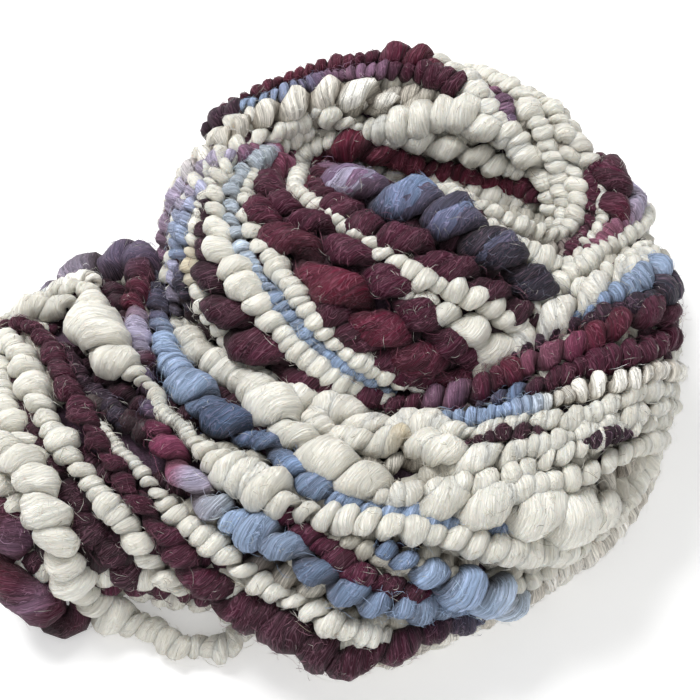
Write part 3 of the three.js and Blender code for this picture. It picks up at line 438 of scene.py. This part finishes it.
def smooth_noise(position, seed):
    """Values from -1 to 1 that change smoothly from one whole number to the next."""
    table = np.random.default_rng(seed).uniform(-1, 1, NOISE_SIZE)
    base = np.floor(position).astype(int)
    part = position - base
    part = part * part * (3 - 2 * part)
    return table[base % NOISE_SIZE] * (1 - part) + table[(base + 1) % NOISE_SIZE] * part


def hues(stops, station):
    """Colours at stations along a strand, from its stops."""
    places = np.array([place for place, _ in stops], float)
    colours = np.array([LINEAR[name] for _, name in stops])
    return np.stack([np.interp(station, places, column) for column in colours.T], 1)


def is_light(stops):
    """Whether most of a strand's colours are undyed."""
    return sum(name in LIGHT_NAMES for _, name in stops) * 2 > len(stops)


# Lengths of the waves that move all points, and how far they move them
WARPS = [(15.0, 0.8), (9.0, 0.5), (6.0, 0.32), (4.5, 0.16)]
WARP_SEED = 5


def warped(points):
    """Points moved a little by waves in all directions, so that no bead is quite regular."""
    local = np.random.default_rng(WARP_SEED)
    moved = points.copy()
    for length, size in WARPS:
        for _ in range(3):
            wave = unit(local.normal(size=(1, 3)))[0] * 2 * math.pi / length
            push = unit(local.normal(size=(1, 3)))[0] * size * 0.6
            moved += np.sin(points @ wave + local.uniform(0, 6.28))[:, None] * push
    return moved


def add_object(name, mesh, material):
    mesh.materials.append(material)
    obj = bpy.data.objects.new(name, mesh)
    bpy.context.scene.collection.objects.link(obj)
    return obj


def add_yarn(name, mesh, tints, plies, material):
    """Makes a mesh a piece of the hank, with each point's colour, painted shade included, and place in the
    ply, for the streaks.
    """
    colour = mesh.color_attributes.new("tint", "FLOAT_COLOR", "POINT")
    opaque = np.concatenate([tints, np.ones((len(tints), 1))], 1)
    colour.data.foreach_set("color", opaque.astype(np.float32).ravel())
    ply = mesh.attributes.new("ply", "FLOAT_VECTOR", "POINT")
    ply.data.foreach_set("vector", plies.astype(np.float32).ravel())
    obj = add_object(name, mesh, material)
    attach(obj, "root")
    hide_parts("hank")


# Lowest points of the strands and of the cores, just off the floor
LOWEST = 0.2
CORE_LOWEST = 0.6


class Piece:
    """The points and faces of many tubes and fibres, made into one mesh."""

    def __init__(self, name):
        self.name = name
        self.points, self.tints, self.plies, self.faces = [], [], [], []
        self.count = 0

    def keep(self, points, tints, plies, faces):
        self.points.append(points.reshape(-1, 3))
        self.tints.append(tints.reshape(-1, 3))
        self.plies.append(plies.reshape(-1, 3))
        self.faces.extend(faces)
        self.count += len(self.points[-1])

    def add_tube(self, rings, tints, plies):
        """rings (n, sides, 3) in millimetres of the tables, wound so that the quads face out."""
        n, sides = rings.shape[:2]
        index = self.count + np.arange(n * sides).reshape(n, sides)
        turned = np.roll(index, -1, axis=1)
        walls = np.stack([index[:-1], turned[:-1], turned[1:], index[1:]], -1).reshape(-1, 4)
        self.keep(rings, tints, plies, [walls, index[:1, ::-1], index[-1:]])

    def add_fibres(self, lines, radius, tint):
        """Thin three-sided fibres, pointed at both ends: lines (n, steps, 3) with their tips, radius
        (n, steps - 2) and one colour each."""
        n, steps = lines.shape[:2]
        tangent = unit(np.gradient(lines, axis=1)[:, 1:-1])
        first = unit(np.cross(tangent, np.array([0.37, 0.21, 0.90])))
        second = np.cross(tangent, first)
        angle = 2 * math.pi * np.arange(3) / 3
        ring = first[:, :, None] * np.cos(angle)[:, None] + second[:, :, None] * np.sin(angle)[:, None]
        rings = lines[:, 1:-1, None] + ring * radius[:, :, None, None]
        size = 3 * (steps - 2) + 2
        points = np.concatenate([lines[:, :1], rings.reshape(n, -1, 3), lines[:, -1:]], 1)
        index = self.count + np.arange(n * size).reshape(n, size)
        around = index[:, 1:-1].reshape(n, steps - 2, 3)
        turned = np.roll(around, -1, axis=2)
        start = np.broadcast_to(index[:, :1], (n, 3))
        end = np.broadcast_to(index[:, -1:], (n, 3))
        faces = [np.stack([start, turned[:, 0], around[:, 0]], -1).reshape(-1, 3),
                 np.stack([around[:, -1], turned[:, -1], end], -1).reshape(-1, 3)]
        if steps > 3:
            walls = np.stack([around[:, :-1], turned[:, :-1], turned[:, 1:], around[:, 1:]], -1)
            faces.append(walls.reshape(-1, 4))
        self.keep(points, np.broadcast_to(tint[:, None], points.shape), np.zeros(points.shape), faces)

    def build(self, material):
        """Makes the mesh, in metres of the row frame."""
        points = warped(np.concatenate(self.points)) - MIDDLE
        points[:, 2] = np.maximum(points[:, 2], LOWEST)
        mesh = bpy.data.meshes.new(self.name)
        mesh.vertices.add(len(points))
        mesh.vertices.foreach_set("co", (points / 1000).astype(np.float32).ravel())
        loops = np.concatenate([faces.ravel() for faces in self.faces])
        mesh.loops.add(len(loops))
        mesh.loops.foreach_set("vertex_index", loops.astype(np.int32))
        sizes = np.concatenate([np.full(len(faces), faces.shape[1]) for faces in self.faces])
        mesh.polygons.add(len(sizes))
        mesh.polygons.foreach_set("loop_start", (np.cumsum(sizes) - sizes).astype(np.int32))
        mesh.polygons.foreach_set("use_smooth", np.ones(len(sizes), bool))
        mesh.update(calc_edges=True)
        add_yarn(self.name, mesh, np.concatenate(self.tints), np.concatenate(self.plies), material)


# How much closer together the points are on the side that is seen
CLOSER = 0.35


def tube_rings(line, normal, radius, sides):
    """Rings round a line; normal is any direction that isn't along it."""
    tangent = unit(np.gradient(line, axis=0))
    first = unit(normal - tangent * np.sum(normal * tangent, 1, keepdims=True))
    second = np.cross(tangent, first)
    angle = 2 * math.pi * np.arange(sides) / sides
    angle = angle - CLOSER * np.sin(angle)
    ring = first[:, None] * np.cos(angle)[None, :, None] + second[:, None] * np.sin(angle)[None, :, None]
    return line[:, None] + ring * radius[:, None, None], angle


def pick(wanted, places, values):
    """Values at the wanted places, between those that are known."""
    if values.ndim == 1:
        return np.interp(wanted, places, values)
    return np.stack([np.interp(wanted, places, column) for column in values.T], 1)


class Strand:
    """The line of a strand, sampled evenly: points, directions up and sideways, thickness and stations."""

    def __init__(self, keys, sample, press=1.0):
        last = len(keys) - 1
        point, out, thick, station = sample(keys, np.linspace(0, last, 24 * last + 1))
        length = np.concatenate([[0], np.cumsum(np.linalg.norm(np.diff(point, axis=0), axis=1))])
        self.total = length[-1]
        # About one sample a millimetre
        self.s = np.linspace(0, self.total, max(12, int(self.total)))
        self.point, out = pick(self.s, length, point), unit(pick(self.s, length, out))
        self.thick, self.station = pick(self.s, length, thick), pick(self.s, length, station)
        along = unit(np.gradient(self.point, axis=0))
        self.side = unit(np.cross(out, along))
        self.up = np.cross(along, self.side)
        self.press = press

    def at(self, s):
        """Frame, thickness and station at lengths s."""
        known = (self.point, self.up, self.side, self.thick, self.station)
        return [pick(s, self.s, values) for values in known]


def on_turn(turn, lift):
    """Samples keys of station, lane and thickness at a lift over a turn."""
    def sample(keys, place):
        station, lane, thick = key_at(keys, place).T
        out = turn_normal(turn, station, lane)
        return turn_point(turn, station, lane) + out * lift, out, thick, station
    return sample


def in_space(keys, place):
    """Samples keys of x, y, z and thickness."""
    values = key_at(keys, place)
    return values[:, :3], np.tile([0.0, 0.0, 1.0], (len(place), 1)), values[:, 3], place


# How much the plies swell beyond their share of the strand
FULLNESS = 1.08
# Shares of the thickness where two or three plies wind round each other: length of a turn, distance of the
# ply from the strand's line and radius of the ply
PLIED = {2: (1.15, 0.19, 0.30), 3: (1.4, 0.22, 0.265)}


class Winding:
    """How one ply winds round its strand: phases along the strand, and where its surface is at each phase."""

    def __init__(self, strand, tight, seed, plies, row):
        if np.ndim(tight):
            tight = np.interp(strand.station, *np.transpose(tight))
        firm = np.maximum(tight, 0)
        shares = PLIED.get(plies, (0.92 - 0.48 * firm, 0.12 + 0.14 * firm, 0.365 - 0.14 * firm))
        pitch, orbit, ply = [strand.thick * share for share in shares]
        self.strand, self.seed, self.offset = strand, seed, row * 2 * math.pi / plies
        self.bulge = 0.16 if plies > 1 else 0.05
        self.orbit, self.ply = orbit * FULLNESS, ply * FULLNESS
        wobble = 1 + 0.40 * smooth_noise(strand.s / (1.5 * np.mean(strand.thick)), seed - 3 * row + 1)
        first = (seed * 1.7) % (2 * math.pi)
        self.phase = np.cumsum(2 * math.pi / (pitch * wobble) * np.gradient(strand.s)) + first
        self.turns = (self.phase[-1] - self.phase[0]) / (2 * math.pi)

    def at(self, along):
        """Length along the strand, and the ply's angle, distance from the line and radius, at phases."""
        s = np.interp(along, self.phase, self.strand.s)
        angle = along + self.offset + 0.35 * smooth_noise(along / 4.0 + self.offset, self.seed + 9)
        bead = angle / (2 * math.pi)
        swell = (1 + 0.22 * smooth_noise(bead * 0.9 + self.offset, self.seed + 2)
                 + 0.07 * smooth_noise(bead * 2.3, self.seed + 3))
        thick = np.interp(s, self.strand.s, self.strand.thick)
        ends = np.minimum(1, np.minimum(s, self.strand.total - s) / (0.8 * thick) + 0.04)
        swell = swell * np.sqrt(np.clip(ends, 0.02, 1))
        return (s, angle, np.interp(s, self.strand.s, self.orbit) * swell,
                np.interp(s, self.strand.s, self.ply) * swell * (1 + self.bulge * np.cos(angle)))

    def sway(self, s):
        """How far the strand's line sways to the side at lengths s."""
        wander = smooth_noise(s / (2.6 * np.mean(self.strand.thick)), self.seed + 4)
        return 0.06 * np.interp(s, self.strand.s, self.strand.thick) * wander


# Shadows between the fibres keep a little more red than blue
SHADOW_HUE = np.array([0.92, 1.0, 1.12])
# Painted shade, as brightness beside the next bead and low at the side of a strand, and then how much the
# tone changes at random from bead to bead
PAINTED_SHADE_AND_TONE = {"light": (0.88, 0.78, 0.05), "dyed": (0.50, 0.34, 0.28)}


def ramp(value, low, high):
    """0 below low, 1 above high and smooth between them."""
    part = np.clip((value - low) / (high - low), 0, 1)
    return part * part * (3 - 2 * part)


def wind(piece, winding, stops, sides, rings_a_turn):
    """The ply of a strand: a tube that winds round the strand's line and bulges into a bead at each turn."""
    strand, seed, offset = winding.strand, winding.seed, winding.offset
    count = max(6, int(round(winding.turns * rings_a_turn)))
    even = np.linspace(winding.phase[0], winding.phase[-1], count + 1)
    along = np.clip(even - CLOSER * np.sin(even + offset), winding.phase[0], winding.phase[-1])
    s, wanted, reach, radius = winding.at(along)
    point, up, side, thick, station = strand.at(s)
    bead = wanted / (2 * math.pi)
    axis = point + side * winding.sway(s)[:, None]
    radial = up * np.cos(wanted)[:, None] + side * np.sin(wanted)[:, None]
    line = (axis + up * (reach * np.cos(wanted))[:, None]
            + side * (reach * np.sin(wanted) * strand.press)[:, None])
    rings, angle = tube_rings(line, radial, radius, sides)
    travel = np.concatenate([[0], np.cumsum(np.linalg.norm(np.diff(line, axis=0), axis=1))])
    run = (travel / np.mean(thick))[:, None]
    lumps = (0.055 * np.sin(2 * angle + 3.1 * run + seed)
             + 0.045 * np.sin(3 * angle - 4.3 * run + 2 * seed)
             + 0.030 * np.sin(5 * angle + 7.7 * run + 3 * seed)
             + 0.035 * np.sin(angle + 9.1 * run + 5 * seed))
    rings = line[:, None] + (rings - line[:, None]) * (1 + lumps)[:, :, None]
    squeeze = rings - axis[:, None]
    sideways = np.einsum("ijk,ik->ij", squeeze, side)
    rings = rings - side[:, None] * (sideways * (1 - strand.press))[:, :, None]
    height = np.einsum("ijk,ik->ij", squeeze, up) / (0.5 * thick)[:, None]
    groove_shade, low, uneven = PAINTED_SHADE_AND_TONE["light" if is_light(stops) else "dyed"]
    # Painted shade: darker in the grooves beside the next bead and on the low side of the strand
    shade = ((groove_shade + (1 - groove_shade) * ramp(np.cos(angle), -0.1, 0.9))[None, :]
             * (low + (1 - low) * ramp(height, -0.4, 0.5)))
    tint = hues(stops, station + 0.07 * smooth_noise(bead, seed + 5))
    value = 1 + uneven * smooth_noise(bead * 0.9, seed + 6)
    tints = tint[:, None] * (shade * value[:, None])[:, :, None] ** SHADOW_HUE
    twist = angle[None, :] + (travel / (0.9 * np.mean(thick)))[:, None]
    size = np.mean(winding.ply)
    run = np.broadcast_to(travel[:, None], twist.shape) + 37.0 * seed + 90.0 * offset
    piece.add_tube(rings, tints, np.stack([size * np.cos(twist), size * np.sin(twist), run], -1))


# Loose fibres for each millimetre of a light or dyed strand of hairiness 1: fuzz stands off the beads, curls
# lie on them in swirls and flyaways cross from bead to bead. Then their points, least and greatest radius and
# share of odd colours.
FIBRES = {
    "fuzz": {"light": 2.1, "dyed": 2.2, "points": 3, "radius": (0.06, 0.10), "odd": 0.07},
    "curls": {"light": 0.7, "dyed": 1.35, "points": 5, "radius": (0.06, 0.10), "odd": 0.08},
    "flyaways": {"light": 0.5, "dyed": 0.8, "points": 4, "radius": (0.06, 0.09), "odd": 0.10},
}
# How much lighter the hairs of dyed strands are made: partly paler stray fibres, partly painted glint
FIBRE_PALE_AND_GLINT = 0.24


def fibres(piece, winding, kind, amount, stops, seed, dyed):
    """Loose fibres of a ply, on the side of the strand that is seen."""
    strand, looks = winding.strand, FIBRES[kind]
    local = np.random.default_rng(seed)
    count = int(amount * looks["dyed" if dyed else "light"] * strand.total)
    if count < 1:
        return
    steps = looks["points"]
    u = np.linspace(0, 1, steps)[None]

    def draw(low, high):
        return local.uniform(low, high, (count, 1))

    # The middle of each swirl, and the foot of each other fibre, is on the front of a bead
    first, last = winding.phase[0] + winding.offset, winding.phase[-1] + winding.offset
    bead = local.integers(int(first / (2 * math.pi)), int(last / (2 * math.pi)) + 2, count)
    lean = draw(-0.5, 0.5) if kind == "curls" else draw(-1.6, 1.6)
    middle = np.clip(2 * math.pi * bead[:, None] + lean - winding.offset, winding.phase[0], winding.phase[-1])
    start, turn, orbit, ply = [column[:, None] for column in winding.at(middle.ravel())]
    turn = (turn + math.pi) % (2 * math.pi) - math.pi
    top = orbit + ply
    # Length along the strand, angle round it and distance from its line
    if kind == "curls":
        arc = draw(0.25, 1.0) * ply
        psi = draw(0, 6.28) + draw(1.0, 2.8) * u
        s = start + arc * np.cos(psi)
        a = turn + arc * np.sin(psi) / top
        r = orbit + ply * np.sqrt(1 - 0.7 * (arc / ply) ** 2) * draw(0.99, 1.07) + 0.05
    elif kind == "fuzz":
        reach = 2.0 + 5.0 * draw(0, 1) ** 1.5
        way = draw(0, 2 * math.pi)
        bend = draw(-0.35, 0.35) * reach * (1 - (2 * u - 1) ** 2)
        off = draw(-0.7, 0.7)
        s = start + reach * (u - 0.3) * np.cos(way) - bend * np.sin(way)
        a = turn + off + (reach * (u - 0.3) * np.sin(way) + bend * np.cos(way)) / top
        r = orbit + ply * np.cos(0.75 * off) * 0.98 + draw(0.1, 1.5) * u
    else:
        reach = 4 + 10 * draw(0, 1) ** 1.5
        way = draw(0, 2 * math.pi) + draw(-1.3, 1.3) * u
        s = start + reach * np.cumsum(np.cos(way), 1) / steps
        a = turn + reach * np.cumsum(np.sin(way), 1) / steps / top
        r = top * 0.99 + draw(0.2, 2.2) * np.sin(draw(1.2, 3.0) * u)
    flat = np.clip(s, 0, strand.total).ravel()
    point, up, side, _, station = strand.at(flat)
    point = point + side * winding.sway(flat)[:, None]
    lines = (point + up * (r * np.cos(a)).ravel()[:, None]
             + side * (r * np.sin(a)).ravel()[:, None] * strand.press).reshape(count, steps, 3)
    tint = hues(stops, station).reshape(count, steps, 3).mean(1)
    odd = local.random((count, 1)) < looks["odd"] * (1 if dyed else 2)
    if dyed:
        hue = 0.42 + 0.58 * tint / tint.max(1, keepdims=True)
        # Hairs of dyed strands are lighter than their strand: partly paler stray fibres, partly painted glint
        tint = tint * draw(0.9, 1.6) + FIBRE_PALE_AND_GLINT * hue * draw(0.1, 1.2) ** 1.5
        tint = np.where(odd, LINEAR["soft"] * draw(0.5, 0.9), tint)
    else:
        # Odd hairs of light strands are darker tan: partly stray darker fibres, partly painted shade on hairs
        tint = np.where(odd, LINEAR["tan"] * draw(0.2, 0.8), tint * draw(0.7, 1.15))
    radius = draw(*looks["radius"]) * np.where(np.arange(steps - 2) == (steps - 2) // 2, 1.0, 0.85)
    piece.add_fibres(lines, radius, np.minimum(tint, 0.9))


def yarn_material(name, sheen, streak, line, paler_and_sheen, roughness, gain=1.2, glow=False):
    """Spun fibre: the strand's colour with streaks along the ply, single fibres drawn as thin curved lines,
    a fine bump and a soft sheen. The line is how far single fibres stand out, gain and the paler colour how
    much lighter they are than the strand, partly as paler fibres and partly as a painted sheen highlight, and
    yarn that glows lets some light through."""
    material = bpy.data.materials.new(name)
    material.use_nodes = True
    nodes, links = material.node_tree.nodes, material.node_tree.links
    nodes.clear()

    def node(kind, **values):
        made = nodes.new(kind)
        for key, value in values.items():
            if hasattr(made, key):
                setattr(made, key, value)
            else:
                made.inputs[key.replace("_", " ")].default_value = value
        return made

    def join(made, *values):
        """Sets a node's first inputs to numbers or to other nodes' outputs."""
        for place, value in enumerate(values):
            if isinstance(value, bpy.types.NodeSocket):
                links.new(value, made.inputs[place])
            else:
                made.inputs[place].default_value = value
        return made.outputs[0]

    def math_node(operation, *values):
        return join(node("ShaderNodeMath", operation=operation), *values)

    def vector_node(operation, *values):
        return join(node("ShaderNodeVectorMath", operation=operation), *values)

    ply = node("ShaderNodeAttribute", attribute_name="ply").outputs["Vector"]
    tint = node("ShaderNodeAttribute", attribute_name="tint").outputs["Color"]

    def noise(stretch, scale, detail, distortion=0.0):
        made = node("ShaderNodeTexNoise", Scale=scale, Detail=detail, Distortion=distortion)
        links.new(vector_node("MULTIPLY", ply, (1.0, 1.0, stretch)), made.inputs["Vector"])
        return made.outputs["Fac"]

    def thin_lines(value, count, width):
        """Thin lines where the value crosses whole steps."""
        step = math_node("FRACT", math_node("MULTIPLY", value, count))
        away = math_node("ABSOLUTE", math_node("SUBTRACT", step, 0.5))
        spread = node("ShaderNodeMapRange", From_Min=0.0, From_Max=width, To_Min=1.0, To_Max=0.0)
        links.new(away, spread.inputs["Value"])
        return spread.outputs[0]

    def spread_out(value):
        """Streaks with clear edges, from -1 to 1."""
        wide = math_node("MULTIPLY", math_node("SUBTRACT", value, 0.5), 5.0)
        return math_node("MAXIMUM", math_node("MINIMUM", wide, 1.0), -1.0)

    fine = noise(0.06, 1.5, 2.0)
    coarse = noise(0.10, 0.5, 1.0)
    curls = thin_lines(noise(0.34, 0.26, 1.0, 0.8), 15.0, 0.19)
    straight = thin_lines(noise(0.07, 0.45, 1.0, 0.3), 16.0, 0.22)
    centred = math_node("MULTIPLY_ADD", spread_out(coarse), 0.6, spread_out(fine))
    lines = math_node("MINIMUM", math_node("ADD", curls, math_node("MULTIPLY", straight, 0.7)), 1.0)
    streaked = vector_node("MULTIPLY", tint, math_node("MULTIPLY_ADD", centred, streak, 1.0))
    mix = node("ShaderNodeMix", data_type="RGBA")
    links.new(math_node("MULTIPLY", lines, line), mix.inputs[0])
    links.new(streaked, mix.inputs[6])
    # Single fibres lighter than the strand: partly paler fibres, partly a painted sheen highlight
    links.new(vector_node("MULTIPLY_ADD", tint, (gain, gain, gain), paler_and_sheen), mix.inputs[7])
    height = math_node("MULTIPLY_ADD", lines, 0.3, math_node("MULTIPLY_ADD", fine, 0.6, coarse))
    bump = node("ShaderNodeBump", Strength=0.9, Distance=0.0012)
    links.new(height, bump.inputs["Height"])
    shader = node("ShaderNodeBsdfPrincipled", Roughness=roughness, Specular_IOR_Level=0.4 if glow else 0.2,
                  Sheen_Weight=sheen, Sheen_Roughness=0.4, Subsurface_Weight=0.4 if glow else 0.0,
                  Subsurface_Radius=(1.0, 0.85, 0.7), Subsurface_Scale=0.002)
    links.new(mix.outputs[2], shader.inputs["Base Color"])
    links.new(bump.outputs[0], shader.inputs["Normal"])
    output = node("ShaderNodeOutputMaterial")
    links.new(shader.outputs[0], output.inputs["Surface"])
    return material


light_yarn = yarn_material("light_yarn", 0.10, 0.11, 0.36, (0.05, 0.05, 0.045), 0.45, glow=True)
dark_yarn = yarn_material("dark_yarn", 0.05, 0.50, 0.70, (0.115, 0.065, 0.085), 0.55, gain=1.5)
hair_yarn = yarn_material("hair_yarn", 0.05, 0.02, 0.0, (0.0, 0.0, 0.0), 0.55)

# Points round a tube and rings for each of its turns: by place, for fat strands and by the number of plies.
# Strands are fat from one thickness on and have three plies from the other.
FINENESS = {"outer": (10, 11), "inner": (10, 11), "side": (7, 8), "under": (6, 6)}
FAT_FINENESS = (12, 15)
PLIED_FINENESS = {2: (9, 13), 3: (10, 13)}
FAT = 13.5
THREE_PLIES_FROM = 11.5

# Pieces for the strands of each place, and for their hairs where these are seen
names = [f"{place}_{kind}_strands" for place in FINENESS for kind in ("ivory", "dyed")]
names += [f"{place}_{kind}_hairs" for place in FINENESS if place != "under" for kind in ("light", "dark")]
pieces = {name: Piece(name) for name in names}


def lay(place, strand, tight, fuzz, stops):
    """Winds a strand with its hairs: as one ply, or as two or three if it is loosely wound."""
    seed = next(SEEDS)
    light = is_light(stops[0])
    plies = 1
    sides, rings = FINENESS[place]
    if not np.ndim(tight) and tight < 0:
        plies = 3 if np.mean(strand.thick) > THREE_PLIES_FROM else 2
        sides, rings = PLIED_FINENESS[plies]
    elif place in ("outer", "inner") and np.max(strand.thick) > FAT:
        sides, rings = FAT_FINENESS
    for row in range(plies):
        winding = Winding(strand, tight, seed + 3 * row, plies, row)
        colours = stops[row % len(stops)]
        wind(pieces[f"{place}_{'ivory' if light else 'dyed'}_strands"], winding, colours, sides, rings)
        if fuzz > 0:
            hairs = pieces[f"{place}_{'light' if light else 'dark'}_hairs"]
            for number, kind in enumerate(FIBRES):
                fibres(hairs, winding, kind, fuzz / plies, colours, winding.seed + 11 + 7 * number, not light)


for place, turn, table in (("outer", OUTER, OUTER_STRANDS), ("inner", INNER, INNER_STRANDS)):
    for lift, tight, fuzz, stops, keys in strands(table):
        lay(place, Strand(keys, on_turn(turn, lift - SINK), PRESS), tight, fuzz, stops)
for _, tight, fuzz, stops, keys in strands(LOOSE_STRANDS):
    lay("outer", Strand(keys, in_space), tight, fuzz, stops)


def whole_way(turn, ends):
    """First and last station of what follows a turn all the way."""
    last = len(turn["sections"])
    return (0.0, last) if turn["closed"] else (ends[0], last - ends[1])


def long_strand(turn, lane, thickness, lift):
    """A strand that follows a turn all the way and wanders a little across its lane."""
    first, last = whole_way(turn, LONG_ENDS)
    keys = [[station, lane + LONG_WANDER * math.sin(1.3 * station + lane), thickness]
            for station in np.arange(first, last + 0.01, LONG_STEP)]
    return Strand(keys, on_turn(turn, lift))


for turn, under in ((OUTER, OUTER_UNDER), (INNER, INNER_UNDER)):
    for lane, kind in UNDER_LANES:
        strand = long_strand(turn, lane, UNDER_THICKNESS, UNDER_LIFT)
        lay("under", strand, UNDER_TIGHT, 0, [colour_stops(under[kind])])
    for lane, thickness, hue in SIDE_LANES:
        stops = colour_stops(OUTER_SIDE_WINE if turn is OUTER and hue == "wine" else f"0 {hue}")
        lay("side", long_strand(turn, lane, thickness, SIDE_LIFT), SIDE_TIGHT, SIDE_FUZZ, [stops])

for share, hue in SLIT_ROWS:
    keys = []
    width = math.sqrt(1 - share * share)
    for part in np.linspace(-SLIT_SHARE, SLIT_SHARE, 9):
        x, y = part * SLIT_HALF[0] * width, share * SLIT_HALF[1]
        z = SLIT_MIDDLE[2] + SLIT_HALF[2] * width * math.sqrt(1 - part * part) - SLIT_SINK
        keys.append([SLIT_MIDDLE[0] + x * math.cos(SLIT_TURN) - y * math.sin(SLIT_TURN),
                     SLIT_MIDDLE[1] + x * math.sin(SLIT_TURN) + y * math.cos(SLIT_TURN), z, SLIT_THICKNESS])
    lay("side", Strand(keys, in_space), SIDE_TIGHT, SLIT_FUZZ, [[(0, hue)]])

for line, way_out, bights in ENDS:
    start, end = np.array(line, float)
    along = (end - start) / np.linalg.norm(end - start)
    half = len(END_PROFILE) // 2
    for place, slant, thickness, hue in bights:
        keys = []
        for number, (out, z) in enumerate(END_PROFILE):
            lean = (number - half) * slant / half
            x, y = start + place * (end - start) + out * np.array(way_out) + lean * along
            keys.append([x, y, z, thickness])
        lay("side", Strand(keys, in_space), SIDE_TIGHT, SIDE_FUZZ, [[(0, hue)]])

for piece in pieces.values():
    if "hairs" in piece.name:
        piece.build(hair_yarn)
    else:
        piece.build(light_yarn if "ivory" in piece.name else dark_yarn)

# The cores: distances from the outer turn's ends, lanes of their points, depth below the surface and
# colour, mauve at half brightness as painted shade, since they are only seen deep between the strands
CORE_ENDS = (0.8, 3.2)
CORE_LANES = [-30, -18, -6, 8, 22, 36, 50, 64, 78, 92, 106, 120, 132]
CORE_DEPTH = 11
CORE_SHADED_COLOUR = LINEAR["mauve"] * 0.5


def core(name, turn, count):
    """The inside of a turn, seen only deep between the strands."""
    closed = turn["closed"]
    stations = np.linspace(*whole_way(turn, CORE_ENDS), count + 1)
    if closed:
        stations = stations[:-1]
    grid = []
    for lane in CORE_LANES:
        lanes = np.full(len(stations), float(lane))
        grid.append(turn_point(turn, stations, lanes) - CORE_DEPTH * turn_normal(turn, stations, lanes))
    grid = np.stack(grid, 1)
    index = np.arange(grid[..., 0].size).reshape(grid.shape[:2])
    here, ahead = (index, np.roll(index, -1, 0)) if closed else (index[:-1], index[1:])
    quads = np.stack([here, ahead, np.roll(ahead, -1, 1), np.roll(here, -1, 1)], -1).reshape(-1, 4).tolist()
    if not closed:
        quads += [index[0].tolist(), index[-1][::-1].tolist()]
    points = grid.reshape(-1, 3) - MIDDLE
    points[:, 2] = np.maximum(points[:, 2], CORE_LOWEST)
    mesh = bpy.data.meshes.new(name)
    mesh.from_pydata((points / 1000).tolist(), [], quads)
    mesh.update()
    mesh.shade_smooth()
    material = yarn_material(name + "_yarn", 0.1, 0.3, 0.2, (0.0, 0.0, 0.0), 0.9)
    add_yarn(name, mesh, np.tile(CORE_SHADED_COLOUR, (len(points), 1)), points, material)


core("outer_core", OUTER, 60)
core("inner_core", INNER, 80)

# Floor, light and camera
floor_mesh = bpy.data.meshes.new("floor")
floor_mesh.from_pydata([(-3, -3, 0), (3, -3, 0), (3, 3, 0), (-3, 3, 0)], [], [(0, 1, 2, 3)])
floor_material = bpy.data.materials.new("white_floor")
floor_material.use_nodes = True
floor_shader = floor_material.node_tree.nodes["Principled BSDF"]
FLOOR = {"Base Color": (0.92, 0.92, 0.92, 1), "Roughness": 1.0, "Specular IOR Level": 0.0,
         "Emission Color": (1, 1, 1, 1), "Emission Strength": 0.24}
for name, value in FLOOR.items():
    floor_shader.inputs[name].default_value = value
add_object("floor", floor_mesh, floor_material)


def area_light(name, place, target, size, power):
    data = bpy.data.lights.new(name, "AREA")
    data.size = size
    data.energy = power
    obj = bpy.data.objects.new(name, data)
    obj.location = place
    obj.rotation_euler = Vector(np.array(target) - np.array(place)).to_track_quat("-Z", "Y").to_euler()
    bpy.context.scene.collection.objects.link(obj)


area_light("key_light", (-0.52, 0.6, 1.15), (0, 0, 0.03), 0.6, 18)
area_light("fill_light", (0.3, -0.9, 0.9), (0, 0, 0.03), 1.2, 4)

world = bpy.data.worlds.new("studio")
bpy.context.scene.world = world
world.use_nodes = True
background = world.node_tree.nodes["Background"]
background.inputs["Color"].default_value = (1.0, 1.0, 1.0, 1)
background.inputs["Strength"].default_value = 0.52
bpy.context.scene.view_settings.view_transform = "Standard"

camera_data = bpy.data.cameras.new("camera")
camera_data.lens = 76
camera_data.sensor_width = 36
camera = bpy.data.objects.new("camera", camera_data)
camera.location = (0.0201, -0.3167, 0.5769)
view = Vector((0.0201, -0.0067, 0.040)) - camera.location
camera.rotation_euler = view.to_track_quat("-Z", "Y").to_euler()
bpy.context.scene.collection.objects.link(camera)
bpy.context.scene.camera = camera
